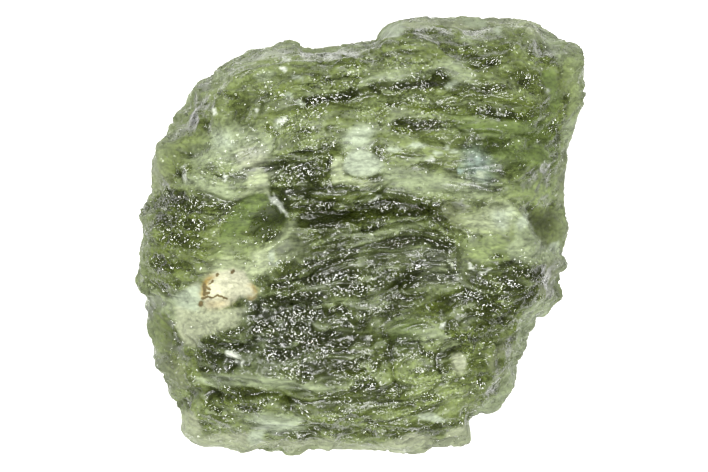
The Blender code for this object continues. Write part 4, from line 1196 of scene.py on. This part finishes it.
def inside(x, y, corners, softness):
    """1 inside a closed shape, 0 outside it, with a soft edge."""
    path = np.array(corners + corners[:1], float)
    mask = np.zeros(len(x))
    low, high = path.min(0) - softness, path.max(0) + softness
    near = np.flatnonzero((x > low[0]) & (x < high[0]) & (y > low[1]) & (y < high[1]))
    apart = nearest_on_path(x[near], y[near], path)[0]
    crossings = np.zeros(len(near), bool)
    for (ax, ay), (bx, by) in zip(path[:-1], path[1:]):
        if ay != by:
            rises = (y[near] < ay) != (y[near] < by)
            crossings ^= rises & (x[near] < ax + (y[near] - ay) * (bx - ax) / (by - ay))
    mask[near] = smoothstep(-softness, softness, np.where(crossings, apart, -apart))
    return mask


def rim_share(points):
    """0 over the face, 1 at the outline."""
    angle = np.arctan2(points[:, 1], points[:, 0])
    radius = np.hypot(points[:, 0], points[:, 1])
    return smoothstep(*RIM_BAND, radius / outline_radius(angle, soften=3))


def glint_patches(points):
    """1 in patches drawn out along the flow, where the etching is roughest."""
    place = np.stack(layer_coordinates(points), 1) / np.array(GLINT_PATCH)
    return smoothstep(*GLINT_NOISE, perlin(place + 31.0))


print(sum(area[4] <= CRISP for area in AREAS), "areas keep their place")

# %% Shares of the masks
# Bending: amount and width in mm, and where the noise starts
WIDE_BEND = (0.22, 1.0, 5.0)
SMALL_BEND = (0.12, 0.35, 15.0)
CRISP_BEND = (0.03, 0.3, 55.0)
BAND_BEND = (0.06, 0.4, 65.0)
GRAIN_BEND = (0.06, 0.3, 25.0)

FACE_HAZE, MORE_HAZE_BELOW = 0.36, 0.30
FACE_GLITTER, LESS_GLITTER_BELOW = 0.75, 0.20
# Painted light: the rim's pale haze and tint stand in for the light that comes through its thin edges.
PALE_HAZE = 0.85  # haze of the rim and of the flecks
RIM_LIGHT_HAZE_SHARE, RIM_LIGHT_TINT_SHARE = 0.7, 0.5
# Painted light along the lines: crests and the tops of the flow ridges get a painted highlight, hazier and
# paler, and grooves a painted shade, clearer and darker.
LINE_WIDTH = 0.8  # of a crest's or groove's own width
NATURAL_LINES = 0.8
CREST_HIGHLIGHT_HAZE, TROUGH_SHADE_HAZE = 0.50, 0.20
CREST_HIGHLIGHT_TINT_SHARE, TROUGH_SHADE_TINT_SHARE = 0.5, 0.4
MILKY = 0.75  # haze from which a crest keeps its tint
BAND_HAZE, BAND_TINT_SHARE = 0.24, 0.5
BAND_GLITTER, BAND_CALM = 0.95, 0.75
LEAST_GLITTER, PATCH_GLITTER = 0.24, 0.60
MOST_CALM = 0.85
CALM_STIR = 0.75
CLAY_LEVEL = 2.5  # mm over the ball's middle, below which there is no clay
print("the plain face has a haze of", FACE_HAZE, "and a glitter of", FACE_GLITTER)

# %% Painting the masks


def move_towards(values, mask, target):
    """Moves the values to the target where the mask is 1, and part of the way where it is less."""
    share = mask[:, None] if values.ndim == 2 else mask
    values += share * (np.array(target) - values)


def patch_masks(points):
    """Haze, tint, glitter, calm and stir at each point."""
    above = seen_from_above(points)
    x, y = bent(points, *WIDE_BEND)
    x, y = bent(np.stack([x, y, points[:, 2]], 1), *SMALL_BEND)
    true_x, true_y = bent(points, *CRISP_BEND)
    below = 1 - above
    haze = FACE_HAZE + MORE_HAZE_BELOW * below
    glitter = FACE_GLITTER - LESS_GLITTER_BELOW * below
    tint = np.tile(TINTS["moss"], (len(points), 1))
    move_towards(tint, below, TINTS["pond"])
    for _, name, share, sparkle, softness, corners in AREAS:
        if softness <= CRISP:
            mask = inside(true_x, true_y, corners, softness) * above
        else:
            mask = inside(x, y, corners, 2 * softness) * above
        for values, target in ((haze, share), (glitter, sparkle), (tint, TINTS[name])):
            move_towards(values, mask, target)
    depth = np.clip(0.35 + 1.1 * haze, 0, 1)

    # Painted light: the rim is painted paler and greyer, for the light through its thin edges.
    rim = rim_share(points)
    move_towards(haze, RIM_LIGHT_HAZE_SHARE * rim, PALE_HAZE)
    move_towards(tint, RIM_LIGHT_TINT_SHARE * rim, TINTS["grey_green"])
    # Painted light: crest lines and flow-ridge tops are painted paler as a highlight, grooves darker as
    # shade.
    lines = sum(np.sign(rise) * stroke(true_x, true_y, line, LINE_WIDTH * width)
                for _, line, width, rise in CRESTS + GROOVES)
    lines = lines * above + NATURAL_LINES * flow_lines(points)
    crests, troughs = np.clip(lines, 0, 1), np.clip(-lines, 0, 1)
    haze = np.clip(haze + CREST_HIGHLIGHT_HAZE * crests - TROUGH_SHADE_HAZE * troughs, 0.02, 1)
    move_towards(tint, CREST_HIGHLIGHT_TINT_SHARE * (crests * (haze < MILKY)), TINTS["grey_green"])
    move_towards(tint, TROUGH_SHADE_TINT_SHARE * troughs, TINTS["bottle"])
    for centre, sizes, turn, name in FLECKS:
        mask = smoothstep(0.25, 0.7, mound(x, y, centre, sizes, turn)) * above
        move_towards(haze, mask, PALE_HAZE)
        move_towards(tint, mask, TINTS[name])

    bands = smoothstep(0.25, 0.65, glint_bands(*bent(points, *BAND_BEND))) * above
    haze -= BAND_HAZE * bands
    move_towards(tint, BAND_TINT_SHARE * bands, TINTS["olive"])
    rough = glitter * (LEAST_GLITTER + PATCH_GLITTER * glint_patches(points))
    calm = np.maximum(np.clip(0.9 - 1.1 * glitter, 0, MOST_CALM), BAND_CALM * bands)
    stir = (1 - CALM_STIR * calm) * depth
    return haze, tint, np.maximum(rough, BAND_GLITTER * bands), calm, stir


def grain_masks(points):
    """The cream grain and its ochre rim."""
    x, y = bent(points, *GRAIN_BEND)
    body = inside(x, y, GRAIN, 0.08)
    ochre = np.maximum.reduce([strength * stroke(x, y, line, width) for strength, width, line in GRAIN_RIMS])
    on_face = points[:, 2] > CLAY_LEVEL
    return body * on_face, ochre * on_face


def paint(mesh):
    """Keeps the masks on the mesh. Returns the mean haze and glitter."""
    count = len(mesh.vertices)
    points = read_vectors(mesh.vertices, "co", count) / MM + np.array([0, 0, rest_level])
    haze, tint, glitter, calm, stir = patch_masks(points)
    body, ochre = grain_masks(points)
    move_towards(tint, body, TINTS["cream"])
    move_towards(tint, ochre, TINTS["ochre"])
    clay = np.clip(np.maximum(body, 0.9 * ochre), 0, 1)
    move_towards(haze, clay, 1.0)
    glitter *= 1 - 0.9 * clay
    attribute_of(mesh, "flow_at", "FLOAT_VECTOR", np.stack(layer_coordinates(points), 1))
    attribute_of(mesh, "tint", "FLOAT_COLOR", np.concatenate([tint, np.ones((count, 1))], 1))
    for name, values in (("haze", haze), ("glitter", glitter), ("stir", stir), ("clay", clay)):
        attribute_of(mesh, name, "FLOAT", values)
    return haze.mean(), glitter.mean()


# %% [markdown]
# ## The glass
#
# Real moldavite is clear glass with haze in it, so the material is two shaders mixed by the haze: clear
# glass, whose colour comes mostly from the distance that light travels through it, and a cloudy one that
# scatters light near the surface. Colouring the glass by absorption is what makes thin edges pale and the
# thick middle dark. Clear glass is glossy, so its ridges shine, and cloudy glass is duller. The glitter is
# made of tiny flat facets in both. Most lean a little, and a share of them, the sparks, lean far over and
# are smooth as mirrors.

# %% Shader groups
SPARK_UPRIGHT = 0.8  # how far a spark's normal is drawn upright, so that more of them show a lamp
STREAK_HEIGHT = 0.008  # mm


def facet_group():
    """A normal broken into small flat facets. A share of them, the sparks, leans far over and glints."""
    tree = bpy.data.node_groups.new("etch_facets", "ShaderNodeTree")
    t = Tree(tree)
    for name in ("Normal", "Place"):
        t.socket(name, "NodeSocketVector")
    for name, value in (("Facet Size", 0.08), ("Share", 0.3), ("Tilt", 1.15), ("Calm Tilt", 0.1)):
        t.socket(name, "NodeSocketFloat", value=value)
    t.socket("Normal", "NodeSocketVector", "OUTPUT")
    for name in ("Shade", "Spark"):
        t.socket(name, "NodeSocketFloat", "OUTPUT")
    given = t.node("NodeGroupInput").outputs
    cells = t.cells(given["Place"], t.math("DIVIDE", 1.0, given["Facet Size"]))
    lean = t.vector("SUBTRACT", cells["Color"], (0.5, 0.5, 0.5))
    draw = t.node("ShaderNodeTexWhiteNoise", {"Vector": cells["Position"]}, noise_dimensions="3D")
    spark = t.math("LESS_THAN", draw.outputs["Value"], given["Share"])
    more = t.math("MULTIPLY", spark, t.math("SUBTRACT", given["Tilt"], given["Calm Tilt"]))
    tilt = t.math("ADD", more, given["Calm Tilt"])
    upright = t.math("MULTIPLY", t.axis(given["Normal"], "Z"), SPARK_UPRIGHT)
    raised = t.vector("ADD", given["Normal"], t.combine(0.0, 0.0, t.math("MULTIPLY", upright, spark)))
    tilted = t.vector("ADD", raised, t.vector("MULTIPLY", lean, t.triple(tilt)))
    # Shade is a random tone for each facet. The material makes specks of it, in part frosting and in part
    # painted sparkle.
    shade = t.node("ShaderNodeSeparateColor", {"Color": cells["Color"]}).outputs["Blue"]
    t.node("NodeGroupOutput", {"Normal": t.vector("NORMALIZE", tilted), "Shade": shade, "Spark": spark})
    return tree


def streak_group():
    """Height of the hair-fine streaks drawn out along the flow, in millimetres."""
    tree = bpy.data.node_groups.new("etch_streaks", "ShaderNodeTree")
    t = Tree(tree)
    t.socket("Flow", "NodeSocketVector")
    t.socket("Streak Width", "NodeSocketFloat", value=0.16)
    t.socket("Height", "NodeSocketFloat", "OUTPUT")
    given = t.node("NodeGroupInput").outputs
    stretch = t.vector("MULTIPLY", given["Flow"], (0.16, 1.0, 0.4))
    streaks = t.fractal(stretch, t.math("DIVIDE", 1.0, given["Streak Width"]), Detail=2.0, Roughness=0.6)
    t.node("NodeGroupOutput", {"Height": t.math("MULTIPLY", streaks[0], STREAK_HEIGHT)})
    return tree


def cloud_group():
    """The haze's uneven density along the flow, the fine threads drawn out in it, and its mottling."""
    tree = bpy.data.node_groups.new("cloud", "ShaderNodeTree")
    t = Tree(tree)
    t.socket("Flow", "NodeSocketVector")
    t.socket("Width", "NodeSocketFloat", value=0.6)
    for name in ("Amount", "Thread", "Mottle"):
        t.socket(name, "NodeSocketFloat", "OUTPUT")
    given = t.node("NodeGroupInput").outputs

    def drawn_out(stretch, fineness, **shape):
        place = t.vector("MULTIPLY", given["Flow"], stretch)
        return t.fractal(place, t.math("DIVIDE", fineness, given["Width"]), **shape)[0]

    soft = drawn_out((0.5, 1.0, 0.7), 1.0, Detail=4.0, Roughness=0.62)
    threads = drawn_out((0.15, 1.0, 0.3), 1.2, Detail=2.0, Distortion=0.4)
    mottle = drawn_out((0.5, 1.0, 1.0), 4.5, Detail=2.0, Roughness=0.6)
    t.node("NodeGroupOutput", {"Amount": t.step(soft, 0.36, 0.66),
                               "Thread": t.step(t.off_middle(threads), 0.0, 0.035, 1.0, 0.0),
                               "Mottle": t.step(mottle, 0.30, 0.70, -1.0, 1.0)})
    return tree


FACET_GROUP = facet_group()
STREAK_GROUP = streak_group()
CLOUD_GROUP = cloud_group()
print("shader groups:", FACET_GROUP.name, STREAK_GROUP.name, CLOUD_GROUP.name)

# %% Sizes and shares of the glass
GLASS_IOR = 1.49
SPECULAR_LEVEL = 0.35
CLEAR_COLOUR = (0.91, 0.97, 0.80, 1.0)
ABSORPTION = (0.45, 0.50, 0.10, 1.0)
ABSORPTION_DENSITY = 560.0
LEAST_HAZE = 0.18
MARKS_ABOVE = 6.0  # mm over the table

# Sizes in mm
STREAK_WIDTH = 0.16
CLOUD_WIDTH = 0.6
FACET_SIZE = 0.08

# Facets: how far the sparks lean, their share where the glitter is full, and how far the others lean,
# as a share of the glitter and everywhere
SPARK_TILT = 1.15
SPARK_SHARE = 0.95
CALM_TILT = (0.32, 0.03)

# How far each kind of unevenness changes the haze and the brightness of the tint. The crest entry is painted
# light: a painted highlight on crests, cup rims and terrace lips, and painted shade at the terraces' feet.
# The specks, one to a facet, change them by a share of the glitter and by a little everywhere. They are in
# part frosting and in part painted sparkle.
HAZE_CHANGE = {"cloud": 0.36, "crest": 0.28, "thread": 0.28, "mottle": 0.10, "plain": -0.34}
# Painted light by height: high relief is painted hazier and paler, low relief clearer and darker as painted
# shade.
RELIEF_SHADE_AND_LIGHT = (-0.25, 0.30)
HAZE_FROST_AND_SPARKLE = (0.5, 0.02)
BRIGHTNESS_CHANGE = {"cloud": 0.24, "mottle": 0.11, "plain": 0.49}
BRIGHTNESS_FROST_AND_SPARKLE = (0.5, 0.03)

CLEAR_ROUGHNESS = 0.22
CLOUDY_ROUGHNESS = 0.72
SPARK_ROUGHNESS = 0.07
CLAY_ROUGHNESS = 0.85
print("glass with an index of", GLASS_IOR)

# %% The stone's material


def attribute_node(t, name):
    return t.node("ShaderNodeAttribute", attribute_name=name, attribute_type="GEOMETRY").outputs


def use_group(t, group, inputs):
    made = t.node("ShaderNodeGroup", node_tree=group)
    for name, value in inputs.items():
        t.feed(made.inputs[name], value)
    return made.outputs


def grain_marks(t, place):
    """1 on the grain's spots and crack."""
    push = t.fractal(place, 6.0, Detail=1.0)["Color"]
    push = t.vector("MULTIPLY", t.vector("SUBTRACT", push, (0.5, 0.5, 0.5)), (0.11, 0.11, 0.0))
    level = t.vector("MULTIPLY", t.vector("ADD", place, push), (1.0, 1.0, 0.0))
    mask = 0.0
    for start, end, width in GRAIN_MARKS:
        run = Vector(end) - Vector(start)
        from_start = t.vector("SUBTRACT", level, (*start, 0.0))
        per_length = (*(run / run.length_squared), 0.0)
        along = t.node("ShaderNodeVectorMath", {0: from_start, 1: per_length},
                       operation="DOT_PRODUCT").outputs["Value"]
        along = t.math("ADD", along, 0.0, clamp=True)
        nearest = t.vector("MULTIPLY", t.combine(along, along, 0.0), (*run, 0.0))
        apart = t.node("ShaderNodeVectorMath", {0: from_start, 1: nearest},
                       operation="DISTANCE").outputs["Value"]
        mask = t.math("MAXIMUM", mask, t.step(apart, 0.5 * width, 1.2 * width, 1.0, 0.0))
    return t.math("MULTIPLY", mask, t.math("GREATER_THAN", t.axis(place, "Z"), MARKS_ABOVE))


def uneven_haze(t, haze, stir, clay, uneven, frost_and_sparkle):
    """The painted haze, made uneven. It is never quite clear, and it is full on the clay."""
    # Painted light: crests, cup rims and terrace lips get a painted highlight, and the terraces' feet
    # painted shade.
    change = t.math("MULTIPLY_ADD", uneven["crest"], HAZE_CHANGE["crest"], HAZE_CHANGE["plain"])
    change = t.math("MULTIPLY_ADD", uneven["cloud"], HAZE_CHANGE["cloud"], change)
    # Painted light and shade by the height of the relief.
    change = t.math("ADD", change, t.step(uneven["relief"], -0.35, 0.35, *RELIEF_SHADE_AND_LIGHT))
    change = t.math("ADD", change, t.math("MULTIPLY", uneven["thread"], HAZE_CHANGE["thread"]))
    # Specks: in part frosting, in part painted sparkle.
    change = t.math("ADD", change, frost_and_sparkle)
    milky = t.math("ADD", haze, t.math("MULTIPLY", change, stir), clamp=True)
    milky = t.math("MULTIPLY_ADD", uneven["mottle"], HAZE_CHANGE["mottle"], milky, clamp=True)
    return t.math("MAXIMUM", milky, t.math("MAXIMUM", clay, LEAST_HAZE))


def uneven_tint(t, tint, place, uneven, frost_and_sparkle):
    """The painted tint with the grain's marks, brighter and darker by turns."""
    spotted = t.mix(grain_marks(t, place), tint, (*TINTS["brown"], 1.0))
    # The specks make facets lighter and darker by turns: in part frosting, in part painted sparkle.
    bright = t.math("MULTIPLY_ADD", uneven["mottle"], BRIGHTNESS_CHANGE["mottle"], frost_and_sparkle)
    bright = t.math("ADD", bright, BRIGHTNESS_CHANGE["plain"])
    bright = t.math("MULTIPLY_ADD", uneven["cloud"], BRIGHTNESS_CHANGE["cloud"], bright)
    grey = t.node("ShaderNodeCombineColor", {name: bright for name in ("Red", "Green", "Blue")}).outputs[0]
    return t.mix(1.0, spotted, grey, "MULTIPLY")


def glass_material():
    """Clear and cloudy glass with the same facets, mixed by the haze, over one absorbing inside."""
    material = bpy.data.materials.new("etched_green_glass")
    material.use_nodes = True
    tree = material.node_tree
    tree.nodes.clear()
    t = Tree(tree)
    tint = attribute_node(t, "tint")["Color"]
    flow = attribute_node(t, "flow_at")["Vector"]
    haze, clay, crest, relief, glitter, stir = (
        attribute_node(t, name)["Fac"] for name in ("haze", "clay", "crest", "relief", "glitter", "stir"))
    place = t.vector("MULTIPLY", t.node("ShaderNodeTexCoord").outputs["Object"], (1 / MM,) * 3)

    streaks = use_group(t, STREAK_GROUP, {"Flow": flow, "Streak Width": STREAK_WIDTH})
    clouds = use_group(t, CLOUD_GROUP, {"Flow": flow, "Width": CLOUD_WIDTH})
    bump = t.node("ShaderNodeBump", {"Height": streaks["Height"], "Distance": MM, "Strength": 1.0})
    facets = use_group(t, FACET_GROUP, {
        "Normal": bump.outputs[0], "Place": place, "Facet Size": FACET_SIZE, "Tilt": SPARK_TILT,
        "Share": t.math("MULTIPLY", glitter, SPARK_SHARE),
        "Calm Tilt": t.math("MULTIPLY_ADD", glitter, *CALM_TILT)})

    uneven = {"cloud": clouds["Amount"], "thread": clouds["Thread"], "mottle": clouds["Mottle"],
              "crest": crest, "relief": relief}
    # One tone per facet, for specks that are in part frosting and in part painted sparkle.
    off_grey = t.math("SUBTRACT", facets["Shade"], 0.5)
    haze_frost_and_sparkle, bright_frost_and_sparkle = (t.math("MULTIPLY", off_grey, t.math("MULTIPLY_ADD", glitter, *share))
                                  for share in (HAZE_FROST_AND_SPARKLE, BRIGHTNESS_FROST_AND_SPARKLE))
    milky = uneven_haze(t, haze, stir, clay, uneven, haze_frost_and_sparkle)
    colour = uneven_tint(t, tint, place, uneven, bright_frost_and_sparkle)

    rough = t.step(haze, 0.45, 0.85, CLEAR_ROUGHNESS, CLOUDY_ROUGHNESS)
    rough = t.math("MULTIPLY_ADD", facets["Spark"], t.math("SUBTRACT", SPARK_ROUGHNESS, rough), rough)
    rough = t.math("MAXIMUM", t.step(clay, 0.2, 0.8, 0.0, CLAY_ROUGHNESS), rough)
    surface = {"Roughness": rough, "IOR": GLASS_IOR, "Normal": facets["Normal"]}
    clear, cloudy = (t.node("ShaderNodeBsdfPrincipled", {**look, **surface}) for look in (
        {"Base Color": CLEAR_COLOUR, "Transmission Weight": 1.0}, {"Base Color": colour}))
    mixed = t.node("ShaderNodeMixShader", {"Fac": milky})
    for number, shader in ((1, clear), (2, cloudy)):
        shader.inputs["Specular IOR Level"].default_value = SPECULAR_LEVEL
        tree.links.new(shader.outputs[0], mixed.inputs[number])
    absorbing = t.node("ShaderNodeVolumeAbsorption", {"Color": ABSORPTION, "Density": ABSORPTION_DENSITY})
    t.node("ShaderNodeOutputMaterial", {"Surface": mixed.outputs[0], "Volume": absorbing.outputs[0]})
    return material


GLASS = glass_material()
print("the material has", len(GLASS.node_tree.nodes), "nodes")

# %% [markdown]
# ## Etching the body
#
# The modifier's inputs are set by their identifiers before anything reads the object. The Decimate
# modifier after it takes points away where the surface is plain, and keeps them where it is crisp. Then
# the finished shape becomes a plain mesh, and the masks are painted on it.

# %% Make the stone
STONE_TRIANGLES = 196000


def etched_stone():
    """The body with the etching on it, thinned out and turned into a plain mesh."""
    points = read_vectors(body_mesh.vertices, "co", len(body_mesh.vertices))
    attribute_of(body_mesh, "flow", "FLOAT_VECTOR", np.stack(layer_coordinates(points), 1))
    attribute_of(body_mesh, "calm", "FLOAT", patch_masks(points)[3])

    rough = bpy.data.objects.new("rough_stone", body_mesh)
    bpy.context.scene.collection.objects.link(rough)
    etching = rough.modifiers.new("etching", "NODES")
    etching.node_group = ETCHING
    names = {item.name: item.identifier for item in ETCHING.interface.items_tree if item.in_out == "INPUT"}
    for name, value in {**ETCH_SIZES, "Rest Level": rest_level, "Glass": GLASS}.items():
        etching[names[name]] = value
    thin = rough.modifiers.new("thin", "DECIMATE")
    thin.ratio = STONE_TRIANGLES / len(body_mesh.polygons)
    graph = bpy.context.evaluated_depsgraph_get()
    mesh = bpy.data.meshes.new_from_object(rough.evaluated_get(graph), preserve_all_data_layers=True,
                                           depsgraph=graph)
    bpy.data.objects.remove(rough)
    mesh.name = "stone"
    points = read_vectors(mesh.vertices, "co", len(mesh.vertices)) / MM
    fit_outline(points)
    write_points(mesh, points * MM)
    mesh.shade_smooth()
    stone = bpy.data.objects.new("stone", mesh)
    bpy.context.scene.collection.objects.link(stone)
    return stone


stone = etched_stone()
haze_mean, glitter_mean = paint(stone.data)
print("stone has", len(stone.data.polygons), "triangles")
print("mean haze", round(haze_mean, 2), "and mean glitter", round(glitter_mean, 2))

# %% [markdown]
# ## Light and table
#
# Small stones are photographed in a light tent: white all round, a white base, and a few bright lamps
# behind the cloth. The white world is the tent. Six round lamps stand in a ring around the camera, because
# glitter is the picture of a lamp in each facet: with lamps on all sides, every ridge has one to show.

# %% Floor, world and lamps
FLOOR_HALF = 0.6  # m
TENT_COLOUR = (1.0, 0.99, 0.93, 1.0)
TENT_STRENGTH = 0.22
LAMP_DISTANCE = 180.0
# Name, compass angle, height in degrees, width in mm, power in watts
LAMPS = [
    ("lamp_near", 258, 60, 62, 0.26),
    ("lamp_near_right", 306, 59, 54, 0.16),
    ("lamp_far", 84, 59, 56, 0.18),
    ("lamp_far_left", 136, 59, 56, 0.16),
    ("lamp_left", 188, 58, 46, 0.12),
    ("lamp_right", 2, 58, 46, 0.10),
]


def add_floor():
    data = bpy.data.meshes.new("floor")
    signs = ((-1, -1), (1, -1), (1, 1), (-1, 1))
    corners = [(across * FLOOR_HALF, up * FLOOR_HALF, 0) for across, up in signs]
    data.from_pydata(corners, [], [(0, 1, 2, 3)])
    floor = bpy.data.objects.new("floor", data)
    bpy.context.scene.collection.objects.link(floor)
    material = bpy.data.materials.new("white_base")
    material.use_nodes = True
    shader = material.node_tree.nodes["Principled BSDF"]
    shader.inputs["Base Color"].default_value = (0.9, 0.9, 0.9, 1.0)
    shader.inputs["Roughness"].default_value = 0.6
    shader.inputs["Emission Color"].default_value = (1.0, 1.0, 1.0, 1.0)
    shader.inputs["Emission Strength"].default_value = 0.45
    data.materials.append(material)


def add_world():
    world = bpy.data.worlds.new("tent")
    world.use_nodes = True
    background = world.node_tree.nodes["Background"]
    background.inputs["Color"].default_value = TENT_COLOUR
    background.inputs["Strength"].default_value = TENT_STRENGTH
    bpy.context.scene.world = world


def add_lamp(name, compass, height, size, power):
    """A round lamp that looks at the stone."""
    data = bpy.data.lights.new(name, "AREA")
    data.shape = "DISK"
    data.size = size * MM
    data.energy = power
    lamp = bpy.data.objects.new(name, data)
    turn, lift = math.radians(compass), math.radians(height)
    way = Vector((math.cos(turn) * math.cos(lift), math.sin(turn) * math.cos(lift), math.sin(lift)))
    lamp.location = way * LAMP_DISTANCE * MM
    lamp.rotation_euler = way.to_track_quat("Z", "Y").to_euler()
    bpy.context.scene.collection.objects.link(lamp)


add_floor()
add_world()
for lamp in LAMPS:
    add_lamp(*lamp)
bpy.context.scene.view_settings.view_transform = "Standard"
print(len(LAMPS), "lamps,", LAMP_DISTANCE, "mm away")

# %% [markdown]
# ## Joining the frame
#
# The stone is one piece on one body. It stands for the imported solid, which stays behind it for weight and
# contact.

# %% Hand the stone over
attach(stone, "root")
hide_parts("moldavite")
